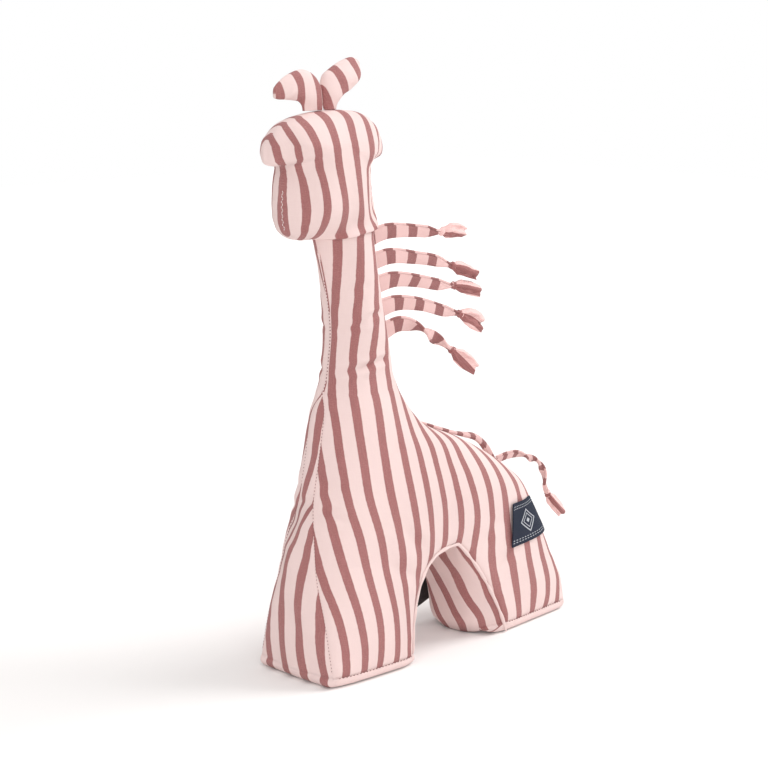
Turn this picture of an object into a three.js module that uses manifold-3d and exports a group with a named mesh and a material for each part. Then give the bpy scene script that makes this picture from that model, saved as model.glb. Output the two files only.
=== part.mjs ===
// A stuffed fabric giraffe with a rattle sewn into its chest.
// Millimetres, +Z up, nose towards -X, the side with the woven label towards -Y.
// Needs the npm packages three and manifold-3d.
import * as THREE from "three";
import { mergeVertices } from "three/addons/utils/BufferGeometryUtils.js";
import Module from "manifold-3d";

const wasm = await Module();
wasm.setup();

// Driving sizes of the body
const FOOT_PRINT = 192; // toe to heel along the floor
const FRONT_FOOT = 60; // length of the front foot
const REAR_FOOT = 54.5; // length of the rear foot
const FRONT_WIDTH = 59; // the front foot at the floor, across the toy
const REAR_WIDTH = 50; // the rear foot at the floor, across the toy
const FRONT_ARCH_WIDTH = 56; // the fabric that lines the arch, at the front leg
const REAR_ARCH_WIDTH = 50; // and at the hind leg
const ARCH_BULGE = 11; // how far the lining swells out between its seams at the floor
const ARCH_HEIGHT = 61; // clear height under the belly
const BODY_THICK = 54; // widest part of the stuffed chest and belly
const FOOT_SPREAD = 4; // how much further each side of the front foot stands out
const FRONT_APEX = 152; // height where the front gusset runs out
const REAR_APEX = ARCH_HEIGHT + 23; // height where the rear gusset runs out
const CHEST_HALF = 6; // half width of the front gusset where it stays narrow up the chest
const TUCK_HEIGHT = 95; // below this tuck the front gusset widens to the foot
const REAR_TURN = 6; // degrees that the hind part turns aside as it stands
const GUSSET_BULGE = 4; // how far the front and rear gussets swell out between their seams

// Driving sizes of the neck and head
const NECK_BASE = 158;
const NECK_RADIUS = 16;
const NECK_AXIS = 41; // neck axis behind the toe
const NECK_LEAN = 5; // how far the neck leans forward where it meets the head
const HEAD_LENGTH = 57;
const HEAD_HEIGHT = 66;
const HEAD_THICK = 43;
const HEAD_BASE = 234; // underside of the muzzle above the floor
const HEAD_AXIS = 22; // middle of the head behind the toe
const EAR_REACH = 38.5; // from the middle of the head to the end of an ear lobe
const EAR_HEIGHT = 24;
const EAR_THICK = 21;
const EAR_DROP = 16; // middle of a lobe below the top of the head

// Driving sizes of the sewn-on pieces
const FABRIC = 0.8; // a single panel
const GAP = 0.3; // between pieces that touch
const LABEL_LIFT = 0.6; // the label off the faceted side
const SOLE_THICK = 2.4;
const HORN_THICK = 8; // a horn where it is fullest
const HORN_EDGE = 3; // a horn where it is sewn in
const TAPE_WIDTH = 6.5;
const TAPE_THICK = 2.6;
const KNOT_WIDTH = 8;
const MANE_PITCH = 12.9; // from one mane tape to the next, down the neck
const MANE_TOP = HEAD_BASE - 1.5; // height of the highest mane tape
const LABEL_HEIGHT = 25;
const LABEL_LENGTH = 26;
const TAG_WIDTH = 15;
const TAG_LENGTH = 16;

// Driving sizes of the rattle
const CAPSULE_RADIUS = 15;
const CAPSULE_WALL = 1.4;
const CAPSULE_HEIGHT = 112; // middle of the capsule above the floor
const CAPSULE_AXIS = 44; // middle of the capsule behind the toe
const BEAD_RADIUS = 3;
const BEADS = 5;

// Places that follow from the sizes, with the toe at TOE
const TOE = -84.5;
const HEEL = TOE + FOOT_PRINT;
const ARCH_FRONT = TOE + FRONT_FOOT;
const ARCH_REAR = HEEL - REAR_FOOT;
const NECK_X = TOE + NECK_AXIS;
const HEAD_X = TOE + HEAD_AXIS;
const HEAD_TOP = HEAD_BASE + HEAD_HEIGHT;
const THROAT = NECK_X - NECK_RADIUS;
const CAPSULE_X = TOE + CAPSULE_AXIS;
const DEG = Math.PI / 180;

const clamp01 = (t) => Math.min(1, Math.max(0, t));
const ease = (t) => clamp01(t) ** 2 * (3 - 2 * clamp01(t));
const mix = (a, b, t) => a + (b - a) * t;

// The hind part turns aside: its middle line is straight, then an arc, then straight again.
const TURN_START = 20;
const TURN_LENGTH = 40;
const turned = (x, y, z) => {
  const angle = REAR_TURN * DEG * clamp01((x - TURN_START) / TURN_LENGTH);
  const arc = Math.min(Math.max(x - TURN_START, 0), TURN_LENGTH);
  const past = Math.max(x - TURN_START - TURN_LENGTH, 0);
  const side = (arc * angle) / 2 + past * Math.sin(angle);
  const along = x - past * (1 - Math.cos(angle));
  return new THREE.Vector3(along - y * Math.sin(angle), side + y * Math.cos(angle), z);
};

// A curve through points [value, height], listed from the top down, and its value at height z,
// found by halving, because the height falls all the way along it
const falling = (points) =>
  new THREE.CatmullRomCurve3(
    points.map(([x, z]) => new THREE.Vector3(x, 0, z)),
    false,
    "centripetal",
  );
function valueAt(curve, z) {
  let low = 0;
  let high = 1;
  for (let i = 0; i < 30; i++) {
    const middle = (low + high) / 2;
    if (curve.getPoint(middle).z > z) low = middle;
    else high = middle;
  }
  return curve.getPoint((low + high) / 2).x;
}

// A point on the ridge, as shares of the way from the foot of the neck to the heel and the rump
const ridge = (along, down) => [
  mix(NECK_X + NECK_RADIUS + 10, HEEL, along),
  mix(NECK_BASE, REAR_APEX, down),
];

// The outline of the back, from the nape over the ridge and down the rump to the heel
const BACK = falling([
  [NECK_X + NECK_RADIUS - NECK_LEAN, HEAD_BASE],
  [NECK_X + NECK_RADIUS, NECK_BASE + 44],
  [NECK_X + NECK_RADIUS + 6, NECK_BASE + 20],
  ridge(0, 0),
  ridge(0.07, 0.21),
  ridge(0.19, 0.42),
  ridge(0.41, 0.58),
  ridge(0.7, 0.865),
  ridge(0.84, 1.055),
  ridge(0.93, 1.35),
  [HEEL, REAR_APEX - 50],
  [HEEL + 5, 19],
  [HEEL + 2, 0],
]);

// The outline of the throat and chest, down to the toe
const FRONT = falling([
  [THROAT - NECK_LEAN, HEAD_BASE],
  [THROAT, NECK_BASE + 44],
  [THROAT - 0.5, NECK_BASE + 12],
  [THROAT - 3, NECK_BASE],
  [THROAT - 8, NECK_BASE - 13],
  [TOE + 11.5, TUCK_HEIGHT + 20],
  [TOE + 7.5, TUCK_HEIGHT],
  [TOE + 3.5, TUCK_HEIGHT - 20],
  [TOE + 1.5, TUCK_HEIGHT - 40],
  [TOE + 0.5, 30],
  [TOE, 0],
]);

// Half width of the front gusset: narrow up the chest, then widening from the tuck to the foot
const CHEST = falling([
  [0, FRONT_APEX],
  [CHEST_HALF - 1, FRONT_APEX - 8],
  [CHEST_HALF, TUCK_HEIGHT + 20],
  [CHEST_HALF + 0.5, TUCK_HEIGHT],
  [mix(FRONT_WIDTH / 2, CHEST_HALF, 0.76), TUCK_HEIGHT - 20],
  [mix(FRONT_WIDTH / 2, CHEST_HALF, 0.58), TUCK_HEIGHT - 40],
  [mix(FRONT_WIDTH / 2, CHEST_HALF, 0.3), TUCK_HEIGHT - 60],
  [FRONT_WIDTH / 2, 0],
]);

const backEdge = (z) => valueAt(BACK, z);
const frontEdge = (z) => valueAt(FRONT, z);
const frontGusset = (z) => (z < FRONT_APEX ? valueAt(CHEST, z) : 0);
const rearGusset = (z) => (REAR_WIDTH / 2) * clamp01(1 - z / REAR_APEX);

// The arch between the feet is a leaning round-cornered curve: x of one side at height z.
const ARCH_TOP_X = mix(ARCH_FRONT, ARCH_REAR, 0.47);
const ARCH_FRONT_POWER = 2.8; // upright and round-cornered at the front leg
const ARCH_REAR_POWER = 1.2; // and nearly a slanting line at the hind leg
function archEdge(z, rear) {
  const power = rear ? ARCH_REAR_POWER : ARCH_FRONT_POWER;
  const open = (1 - clamp01(z / ARCH_HEIGHT) ** power) ** (1 / power);
  return mix(ARCH_TOP_X, rear ? ARCH_REAR : ARCH_FRONT, open);
}

// The same curve walked from the front foot over the top to the rear foot, s from 0 to 1,
// moved outwards by grow: each point with its normal, which points into the opening.
function archPoint(s, grow = 0) {
  const at = (t) => {
    const angle = Math.PI * Math.min(t, 1 - t);
    const power = t < 0.5 ? ARCH_FRONT_POWER : ARCH_REAR_POWER;
    const rise = Math.max(Math.sin(angle), 0) ** (2 / power);
    const open = Math.max(Math.cos(angle), 0) ** (2 / power);
    return [mix(ARCH_TOP_X, t < 0.5 ? ARCH_FRONT : ARCH_REAR, open), ARCH_HEIGHT * rise];
  };
  const [x, z] = at(s);
  const [before, after] = [at(Math.max(s - 0.01, 0)), at(Math.min(s + 0.01, 1))];
  const level = ease(z / (ARCH_HEIGHT / 2)); // near the floor the lining swells out level
  const [dx, dz] = [level * (after[0] - before[0]), after[1] - before[1]];
  const length = Math.hypot(dx, dz);
  const out = [dz / length, -dx / length];
  return { at: [x - out[0] * grow, z - out[1] * grow], out };
}

// Half thickness of a stuffed slice, t running 0 to 1 from its front edge to its rear edge.
// front and rear are the half widths at the edges, middle the half width between them.
function swell(t, front, rear, middle, power) {
  const edge = mix(front ** 2, rear ** 2, t);
  const crown = Math.max(middle ** 2 - (front ** 2 + rear ** 2) / 2, 0);
  return Math.sqrt(edge + crown * (1 - Math.abs(2 * t - 1) ** power));
}

// One closed ring of a horizontal slice: down the near side, then back along the far side.
// frontBulge and rearBulge are how far its two edge faces swell out.
const SIDE_STEPS = 13;
const EDGE_STEPS = 4;
const crest = (s) => 1 - s * s;
function slice(z, { from, to, front, rear, middle, power, frontBulge = 0, rearBulge = 0 }) {
  const ring = [];
  const bare = 0.4; // half width of an edge where two panels meet without a gusset
  for (const side of [-1, 1]) {
    const [edge, half, bulge] = side < 0 ? [to, rear, rearBulge] : [from, front, -frontBulge];
    for (let i = 0; i <= SIDE_STEPS; i++) {
      const walk = side < 0 ? i / SIDE_STEPS : 1 - i / SIDE_STEPS;
      const t = (1 - Math.cos(Math.PI * walk)) / 2;
      const wide = Math.max(swell(t, front, rear, middle, power), bare);
      ring.push(turned(mix(from, to, t), side * wide, z));
    }
    for (let i = 1; i < EDGE_STEPS; i++) {
      const s = side * (1 - (2 * i) / EDGE_STEPS);
      ring.push(turned(edge + bulge * crest(s), s * Math.max(half, bare), z));
    }
  }
  return ring;
}

// Closed body through a list of rings that all have as many points. Its ends are filled from their
// middle, or, where sheet is true, from one side of a thin bent section to the other.
function loft(rings, sheet = false) {
  const count = rings[0].length;
  const points = rings.flat();
  const index = [];
  for (let r = 0; r + 1 < rings.length; r++) {
    for (let i = 0; i < count; i++) {
      const a = r * count + i;
      const b = r * count + ((i + 1) % count);
      index.push(a, b, b + count, a, b + count, a + count);
    }
  }
  for (const last of [false, true]) {
    const ring = last ? rings[rings.length - 1] : rings[0];
    const start = last ? (rings.length - 1) * count : 0;
    if (sheet) {
      for (let i = 0; i + 1 < count / 2; i++) {
        const [a, b, c, d] = [i, i + 1, count - 2 - i, count - 1 - i].map((n) => start + n);
        index.push(...(last ? [a, b, c, a, c, d] : [b, a, c, c, a, d]));
      }
      continue;
    }
    const middle = ring.reduce((sum, p) => sum.add(p), new THREE.Vector3()).divideScalar(count);
    points.push(middle);
    for (let i = 0; i < count; i++) {
      const a = start + i;
      const b = start + ((i + 1) % count);
      index.push(...(last ? [a, b, points.length - 1] : [b, a, points.length - 1]));
    }
  }
  const geometry = new THREE.BufferGeometry().setFromPoints(points).setIndex(index);
  return faceOut(geometry);
}

// Signed volume, to turn a body whose faces point inwards.
function volume(geometry) {
  const p = geometry.getAttribute("position");
  const index = geometry.index.array;
  const [a, b, c] = [new THREE.Vector3(), new THREE.Vector3(), new THREE.Vector3()];
  let sum = 0;
  for (let i = 0; i < index.length; i += 3) {
    a.fromBufferAttribute(p, index[i]);
    b.fromBufferAttribute(p, index[i + 1]);
    c.fromBufferAttribute(p, index[i + 2]);
    sum += a.dot(b.cross(c)) / 6;
  }
  return sum;
}

function faceOut(geometry) {
  if (volume(geometry) > 0) return geometry;
  const index = geometry.index.array;
  for (let i = 0; i < index.length; i += 3) {
    [index[i + 1], index[i + 2]] = [index[i + 2], index[i + 1]];
  }
  return geometry;
}

// Join and cut with manifold-3d
function solid(geometry) {
  const bare = geometry.clone();
  bare.deleteAttribute("normal");
  bare.deleteAttribute("uv");
  const merged = mergeVertices(bare, 1e-4);
  return new wasm.Manifold(
    new wasm.Mesh({
      numProp: 3,
      vertProperties: new Float32Array(merged.getAttribute("position").array),
      triVerts: new Uint32Array(merged.index.array),
    }),
  );
}

function geometryOf(manifold) {
  const mesh = manifold.getMesh();
  const geometry = new THREE.BufferGeometry();
  geometry.setAttribute("position", new THREE.BufferAttribute(mesh.vertProperties, 3));
  geometry.setIndex(new THREE.BufferAttribute(mesh.triVerts, 1));
  return geometry;
}

const cut = (geometry, ...tools) =>
  geometryOf(tools.reduce((body, tool) => body.subtract(solid(tool)), solid(geometry)));

const steps = (from, to, count) =>
  Array.from({ length: count + 1 }, (_, i) => mix(from, to, i / count));

const gussetBulge = (half) => GUSSET_BULGE * clamp01(half / 20);
const legBulge = (z) => ARCH_BULGE * (1 - clamp01(z / ARCH_HEIGHT) ** 4);

// The stuffing keeps clear of the gussets, which lie over it.
const SKIN = FABRIC + GAP;
const bodyHalf = (z) => mix(BODY_THICK / 2, NECK_RADIUS, ease((z - REAR_APEX - 4) / (NECK_BASE - REAR_APEX)));
const bodyPower = (z) => mix(6, 2, ease((z - ARCH_HEIGHT / 2) / (1.8 * ARCH_HEIGHT)));
const footRise = (z) => 1 - 0.1 * (1 - clamp01(z / 9)) ** 2; // the fabric turns in at the floor

// What a horizontal slice measures in the front leg, the rear leg, and the torso above them
const frontLegSlice = (z) => ({
  from: frontEdge(z) + SKIN,
  to: archEdge(z, false) - SKIN,
  front: frontGusset(z) * footRise(z),
  rear: (FRONT_ARCH_WIDTH / 2) * footRise(z),
  middle: (BODY_THICK / 2 + FOOT_SPREAD * (1 - z / ARCH_HEIGHT)) * footRise(z),
  power: mix(4, bodyPower(ARCH_HEIGHT), z / ARCH_HEIGHT),
  frontBulge: gussetBulge(frontGusset(z)),
  rearBulge: legBulge(z),
});
const rearLegSlice = (z) => ({
  from: archEdge(z, true) + SKIN,
  to: backEdge(z) - SKIN,
  front: (REAR_ARCH_WIDTH / 2) * footRise(z),
  rear: rearGusset(z) * footRise(z),
  middle: (BODY_THICK / 2) * footRise(z),
  power: mix(4, bodyPower(ARCH_HEIGHT), z / ARCH_HEIGHT),
  frontBulge: legBulge(z),
  rearBulge: gussetBulge(rearGusset(z)),
});
const torsoSlice = (z) => ({
  from: frontEdge(z) + SKIN,
  to: backEdge(z) - SKIN,
  front: frontGusset(z),
  rear: rearGusset(z),
  middle: bodyHalf(z),
  power: bodyPower(z),
  frontBulge: gussetBulge(frontGusset(z)),
  rearBulge: gussetBulge(rearGusset(z)),
});

// The neck draws in where it goes up into the underside of the head, and leans forward there.
const NECK_TUCK = 18;
const NECK_TOP = HEAD_BASE + 12;
function neckSlice(z) {
  const tuck = clamp01((z - NECK_TOP + NECK_TUCK) / NECK_TUCK) ** 2;
  const measure = torsoSlice(z < HEAD_BASE ? z : HEAD_BASE);
  const centre = (measure.from + measure.to) / 2 - (NECK_LEAN / 2) * tuck;
  const shrink = 1 - 0.45 * tuck;
  const half = ((measure.to - measure.from) / 2) * shrink;
  const inside = { from: centre - half, to: centre + half, middle: measure.middle * shrink };
  return tuck > 0 ? { ...measure, ...inside } : measure;
}

// Half thickness of the hind part at x and z
function hindHalf(x, z) {
  const { from, to, front, rear, middle, power } = (z > ARCH_HEIGHT ? torsoSlice : rearLegSlice)(z);
  return swell(clamp01((x - from) / (to - from)), front, rear, middle, power);
}

const LEG_LEVELS = [SOLE_THICK + GAP, 5, 9, 16, 26, 36, 46, 54, ARCH_HEIGHT];
const TORSO_LEVELS = steps(ARCH_HEIGHT + GAP, NECK_BASE - GAP / 2, 13);
const stack = (levels, measure) => loft(levels.map((z) => slice(z, measure(z))));
const frontLeg = () => stack(LEG_LEVELS, frontLegSlice);
const rearLeg = () => stack(LEG_LEVELS, rearLegSlice);
const torso = () => stack(TORSO_LEVELS, torsoSlice);
const neck = () => {
  const tuckStart = NECK_TOP - NECK_TUCK;
  const levels = [...steps(NECK_BASE + GAP / 2, tuckStart, 6), ...steps(tuckStart, NECK_TOP, 6).slice(1)];
  return stack(levels, neckSlice);
};

// Head: flat-bellied slices that draw in to the seam over the top and to the chin.
// grow makes it larger all round, as the tool that cuts what it rests on.
function head(grow = 0) {
  const rings = [];
  const rows = 12;
  for (let r = 0; r <= rows; r++) {
    const rise = -Math.cos((Math.PI * (r + 0.25)) / (rows + 0.5));
    const along = (1 - Math.abs(rise) ** 5) ** 0.2;
    const across = (1 - Math.abs(rise) ** (rise > 0 ? 2.4 : 4)) ** 0.5;
    const z = HEAD_BASE + (HEAD_HEIGHT / 2) * (1 + rise) + grow * rise;
    const ring = [];
    for (let i = 0; i < 28; i++) {
      const angle = (2 * Math.PI * i) / 28;
      const [c, s] = [Math.cos(angle), Math.sin(angle)];
      ring.push(
        new THREE.Vector3(
          HEAD_X + Math.sign(c) * Math.abs(c) ** 0.9 * (HEAD_LENGTH / 2 + grow) * along,
          Math.sign(s) * Math.abs(s) ** 0.9 * ((HEAD_THICK / 2) * across + grow),
          z,
        ),
      );
    }
    rings.push(ring);
  }
  return loft(rings);
}

// Ear lobe at one end of the head: -1 the front one, 1 the rear one
function earLobe(end) {
  const rings = [];
  const inner = HEAD_LENGTH / 2 - 9;
  const rows = 8;
  for (let r = 0; r <= rows; r++) {
    const t = Math.sin((Math.PI / 2) * (r / rows));
    const round = (1 - (0.985 * t) ** 3.4) ** 0.5;
    const ring = [];
    for (let i = 0; i < 14; i++) {
      const angle = (2 * Math.PI * i) / 14;
      ring.push(
        new THREE.Vector3(
          HEAD_X + end * mix(inner, EAR_REACH, t),
          (EAR_THICK / 2) * round * Math.cos(angle),
          HEAD_TOP - EAR_DROP + (EAR_HEIGHT / 2) * round * Math.sin(angle) * (end < 0 ? 1 : 0.9),
        ),
      );
    }
    rings.push(ring);
  }
  return cut(loft(rings), head(GAP));
}

// A strip of fabric between two edges: stations give its middle, its outward way, its half width
// and how far it swells out. order turns its rings round, so that its faces split as those of the
// stuffed piece behind it do.
function strip(stations, order = 1) {
  const rings = stations.map(({ at, out, half, bulge }) => {
    const ring = [];
    for (const layer of [1, 0]) {
      for (let i = 0; i <= EDGE_STEPS; i++) {
        const s = order * (layer ? (2 * i) / EDGE_STEPS - 1 : 1 - (2 * i) / EDGE_STEPS);
        const lift = bulge * crest(s) + layer * FABRIC;
        const [x, z] = [at[0] + out[0] * lift, at[1] + out[1] * lift];
        ring.push(turned(x, s * half, z));
      }
    }
    return ring;
  });
  return loft(rings, true);
}

const GUSSET_END = 6; // below the apex, where the gusset is too narrow to sew
const gussetStrip = (apex, edge, width, way) =>
  strip(
    [...LEG_LEVELS, ...TORSO_LEVELS.slice(1)].filter((z) => z < apex - GUSSET_END).map((z) => ({
      at: [edge(z) - way * FABRIC, z],
      out: [way, 0],
      half: width(z),
      bulge: gussetBulge(width(z)),
    })),
    -way,
  );
const frontGussetStrip = () => gussetStrip(FRONT_APEX, frontEdge, frontGusset, -1);
const rearGussetStrip = () => gussetStrip(REAR_APEX, backEdge, rearGusset, 1);

// The lining of the arch goes up behind the front leg, over, and down the hind leg. It swells out
// between its seams at the feet and lies flat under the belly.
const ARCH_ROWS = 30;
const archBulge = (s) => ARCH_BULGE * Math.cos(Math.PI * s) ** 2;
const archHalf = (s) => mix(FRONT_ARCH_WIDTH, REAR_ARCH_WIDTH, s) / 2;
function archRun(grow) {
  return steps(0, 1, ARCH_ROWS).map((s) => {
    const { at, out } = archPoint(s, grow(s));
    return { at: [at[0], Math.max(at[1], SOLE_THICK + GAP)], out, half: archHalf(s), bulge: archBulge(s) };
  });
}
const archLining = () => strip(archRun(() => FABRIC));

// The space under the belly and the lining's own thickness, to cut from the stuffed pieces
function archSpace() {
  const walls = [-2, ...steps(-1, 1, EDGE_STEPS), 2].map((side) => {
    const swollen = (s) => SKIN + GAP - archBulge(s) * Math.max(crest(side), 0);
    const outline = archRun(swollen);
    const floor = [outline[0], outline[ARCH_ROWS]].map(({ at, half }) => ({ at: [at[0], -1], half }));
    return [floor[0], ...outline, floor[1]].map(({ at, half }) => turned(at[0], side * half, at[1]));
  });
  return loft(walls);
}

// Sole: the foot's outline at the floor, rounded where it turns up
const SOLE_LEVELS = [
  [0, 2.6],
  [0.9, 0.8],
  [SOLE_THICK, 0],
];
function sole({ from, to, front, rear, frontBulge, rearBulge }) {
  return loft(
    SOLE_LEVELS.map(([z, inset]) =>
      slice(z, {
        from: from + inset,
        to: to - inset,
        front: front - inset,
        rear: rear - inset,
        middle: (front + rear) / 2 + 1.5 - inset,
        power: 4,
        frontBulge,
        rearBulge,
      }),
    ),
  );
}
const frontSole = () =>
  sole({
    from: TOE,
    to: ARCH_FRONT,
    front: FRONT_WIDTH / 2,
    rear: FRONT_ARCH_WIDTH / 2,
    frontBulge: GUSSET_BULGE,
    rearBulge: ARCH_BULGE,
  });
const rearSole = () =>
  sole({
    from: ARCH_REAR,
    to: HEEL,
    front: REAR_ARCH_WIDTH / 2,
    rear: REAR_WIDTH / 2,
    frontBulge: ARCH_BULGE,
    rearBulge: GUSSET_BULGE,
  });

// Body of a soft tape or horn along a curve: stations are [t, half width, half thickness].
function taper(curve, stations, sides, twist = 0, start = 0) {
  const up = new THREE.Vector3(0, 0, 1);
  const rings = stations.map(([t, wide, thick]) => {
    const at = curve.getPoint(t);
    const along = curve.getTangent(t);
    const flat = new THREE.Vector3().crossVectors(along, new THREE.Vector3(0, 1, 0));
    if (flat.lengthSq() < 0.1) flat.copy(up);
    flat.normalize().applyAxisAngle(along, start + twist * t);
    const side = new THREE.Vector3().crossVectors(along, flat).normalize();
    return steps(0, 1, sides)
      .slice(0, sides)
      .map((turn) => {
        const angle = 2 * Math.PI * turn;
        return at
          .clone()
          .addScaledVector(flat, wide * Math.cos(angle))
          .addScaledVector(side, thick * Math.sin(angle));
      });
  });
  return loft(rings);
}

// Horns: stuffed leaves that stand in the seam over the head, flat across the toy. Each has two
// outlines from its root to its tip, as [back from the middle of the head, up from the seat], and
// is as thick as a lens between them.
const HORN_SEAT = HEAD_TOP + GAP;
const HORN_LINES = {
  front: {
    outer: [[-1, 0], [-1, 5], [-2.5, 11], [-6, 17], [-14, 21], [-24, 18.5], [-31, 14.5], [-33, 12.5]],
    inner: [[-14, 0], [-14.5, 3], [-16.5, 4.8], [-21, 5.6], [-24.5, 6], [-27, 6.2], [-30.5, 6.4], [-33, 7]],
  },
  rear: {
    outer: [[0.5, 0], [-0.5, 5], [-1.5, 12], [-0.5, 17.5], [4, 20.5], [10.5, 24], [18.5, 26.5], [22, 26]],
    inner: [[8.5, 0], [9, 3], [11, 5.5], [13.5, 7.5], [18.5, 10], [22.5, 13], [25.5, 17], [25, 23]],
  },
};
const HORN_ROWS = 14;
const HORN_SIDES = 12;
function horn({ outer, inner }) {
  const rail = (line) =>
    new THREE.CatmullRomCurve3(line.map(([x, z]) => new THREE.Vector3(HEAD_X + x, 0, HORN_SEAT + z)));
  const [top, under] = [rail(outer), rail(inner)];
  const edge = HORN_EDGE / HORN_THICK;
  // thickness as a share of the fullest: nearly closed at the root, fullest a third of the way up
  const fullness = (t) => {
    if (t === 0) return edge / 3;
    return mix(edge, 1, ease(t / 0.3)) * (1 - 0.75 * ease((t - 0.55) / 0.45));
  };
  return loft(
    steps(0, 1, HORN_ROWS).map((t) => {
      const [a, b] = [top.getPoint(t), under.getPoint(t)];
      const middle = a.clone().lerp(b, 0.5);
      const reach = a.sub(b).divideScalar(2);
      const sideways = new THREE.Vector3(0, (HORN_THICK / 2) * fullness(t), 0);
      return steps(0, 1, HORN_SIDES)
        .slice(1)
        .map((turn) => 2 * Math.PI * turn)
        .map((angle) =>
          middle
            .clone()
            .addScaledVector(reach, Math.cos(angle))
            .addScaledVector(sideways, Math.sin(angle)),
        );
    }),
  );
}

// Mane and tail: folded tapes with a knot and a flared end
const TAPE_STATIONS = [
  [0, 0.85, 0.35],
  [0.008, 0.95, 0.8],
  [0.018, 1, 1],
  [0.4, 1, 1],
  [0.62, 0.95, 1.1],
  [0.68, 0.6, 1.2],
];
const KNOT_STATIONS = [
  [0.73, 1, 1.4],
  [0.78, 1, 1.4],
  [0.82, 0.55, 0.9],
  [0.9, 0.95, 0.8],
  [0.97, 1.15, 0.5],
  [1, 0.9, 0.25],
];
function tape(curve, twist = 0) {
  const run = TAPE_STATIONS.map(([t, w, h]) => [t, (w * TAPE_WIDTH) / 2, (h * TAPE_THICK) / 2]);
  const end = KNOT_STATIONS.map(([t, w, h]) => [t, (w * KNOT_WIDTH) / 2, (h * KNOT_WIDTH) / 4]);
  const fine = twist ? steps(0.08, 0.6, 12).map((t) => [t, TAPE_WIDTH / 2, TAPE_THICK / 2]) : [];
  const all = [...run.filter(([t]) => !twist || t < 0.05 || t > 0.61), ...fine, ...end];
  return taper(curve, all.sort((a, b) => a[0] - b[0]), 10, twist);
}

// Each mane tape: how its middle line runs back from the nape, as [back, up]
const MANE_LINES = [
  [[18, 1.8], [36, 0.4], [52, -1.6], [64, -2], [74, -4]],
  [[18, 1], [33, -1.2], [49, -4.2], [61, -8], [81, -14]],
  [[18, 1], [35, -1.6], [52, -5.4], [70, -8], [82, -10.5]],
  [[18, 0.8], [35, -2], [51, -7], [72, -12.5], [82, -18]],
  [[16, 2], [32, -3.5], [45, -11], [58, -19], [73, -31]],
];
function maneTape(number) {
  const z = MANE_TOP - number * MANE_PITCH;
  const nape = backEdge(z) - SKIN + 2 * GAP;
  const points = [[0, 0], ...MANE_LINES[number]];
  return tape(
    new THREE.CatmullRomCurve3(
      points.map(([back, rise]) => new THREE.Vector3(nape + back, 0, z + rise)),
    ),
  );
}

// The tail rises from the seam over the rump, arches back and hangs behind it.
const TAIL_ROOT = REAR_APEX + 1.5 * TAPE_WIDTH;
const TAIL_LINE = [
  [0, 0],
  [10, 0.8],
  [19, 0.2],
  [30, -3.8],
  [40.5, -8.6],
  [46.5, -16.8],
  [47.5, -24],
  [51.5, -31],
  [66, -43],
];
function tail() {
  const root = backEdge(TAIL_ROOT - TAPE_WIDTH / 2) - 2 * SKIN + GAP; // its lower edge meets the ridge
  const points = TAIL_LINE.map(([back, rise]) => turned(root + back, 0, TAIL_ROOT + rise));
  return tape(new THREE.CatmullRomCurve3(points), 2.5 * Math.PI);
}

// A place on the near side of the hind part, lifted off its surface
function onNearSide(x, z, lift) {
  const step = 0.5;
  const slope = (hindHalf(x + step, z) - hindHalf(x - step, z)) / (2 * step);
  const length = Math.hypot(slope, 1);
  return turned(x - (slope / length) * lift, -hindHalf(x, z) - lift / length, z);
}

// Woven label: laid on the near side, its rear edge caught in the rump seam
const LABEL_STEPS = 8;
const LABEL_SEAM = 5; // from the outline of the rump to the label's rear edge
function sideLabel() {
  const low = REAR_APEX - 34;
  const front = backEdge(low) - LABEL_LENGTH - 22;
  const rings = steps(low, low + LABEL_HEIGHT, LABEL_STEPS).map((z) => {
    const rear = backEdge(z) - LABEL_SEAM;
    const ring = [];
    for (const layer of [0, 1]) {
      for (let i = 0; i <= LABEL_STEPS; i++) {
        const x = mix(front, rear, layer ? 1 - i / LABEL_STEPS : i / LABEL_STEPS);
        ring.push(onNearSide(x, z, LABEL_LIFT + layer * FABRIC));
      }
    }
    return ring;
  });
  return cut(loft(rings, true), torso(), rearLeg());
}

// Satin care tag, blank, caught in the far seam of the hind leg, which slants there
const TAG_HEIGHT = 20;
const TAG_TILT = 22;
function careTag() {
  const shape = new THREE.Shape();
  shape.moveTo(-TAG_LENGTH, -TAG_WIDTH / 2);
  shape.lineTo(0, -TAG_WIDTH / 2);
  shape.lineTo(0, TAG_WIDTH / 2);
  shape.lineTo(-TAG_LENGTH, TAG_WIDTH / 2);
  const geometry = new THREE.ExtrudeGeometry(shape, { depth: FABRIC, bevelEnabled: false });
  geometry.rotateX(Math.PI / 2);
  geometry.rotateY(-TAG_TILT * DEG);
  return geometry;
}

// Rattle: a two-part capsule with loose beads
function capsuleHalf(upper) {
  const outer = CAPSULE_RADIUS;
  const inner = CAPSULE_RADIUS - CAPSULE_WALL;
  const seam = upper ? GAP / 2 : -GAP / 2;
  const profile = [];
  const quarter = 8;
  const way = upper ? 1 : -1;
  const arc = (radius, i, count) => {
    const start = Math.asin(GAP / 2 / radius);
    const angle = mix(start, Math.PI / 2, i / count);
    return new THREE.Vector2(radius * Math.cos(angle), way * radius * Math.sin(angle));
  };
  for (let i = 0; i <= quarter; i++) profile.push(arc(outer, i, quarter));
  for (let i = quarter; i >= 0; i--) profile.push(arc(inner, i, quarter));
  profile[quarter].x = 0;
  profile[quarter + 1].x = 0;
  const start = profile[0].clone();
  start.y = seam;
  profile.push(start);
  return faceOut(new THREE.LatheGeometry(profile, 20).rotateX(Math.PI / 2));
}

const bead = () => new THREE.SphereGeometry(BEAD_RADIUS, 8, 6).rotateX(Math.PI / 2);

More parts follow.
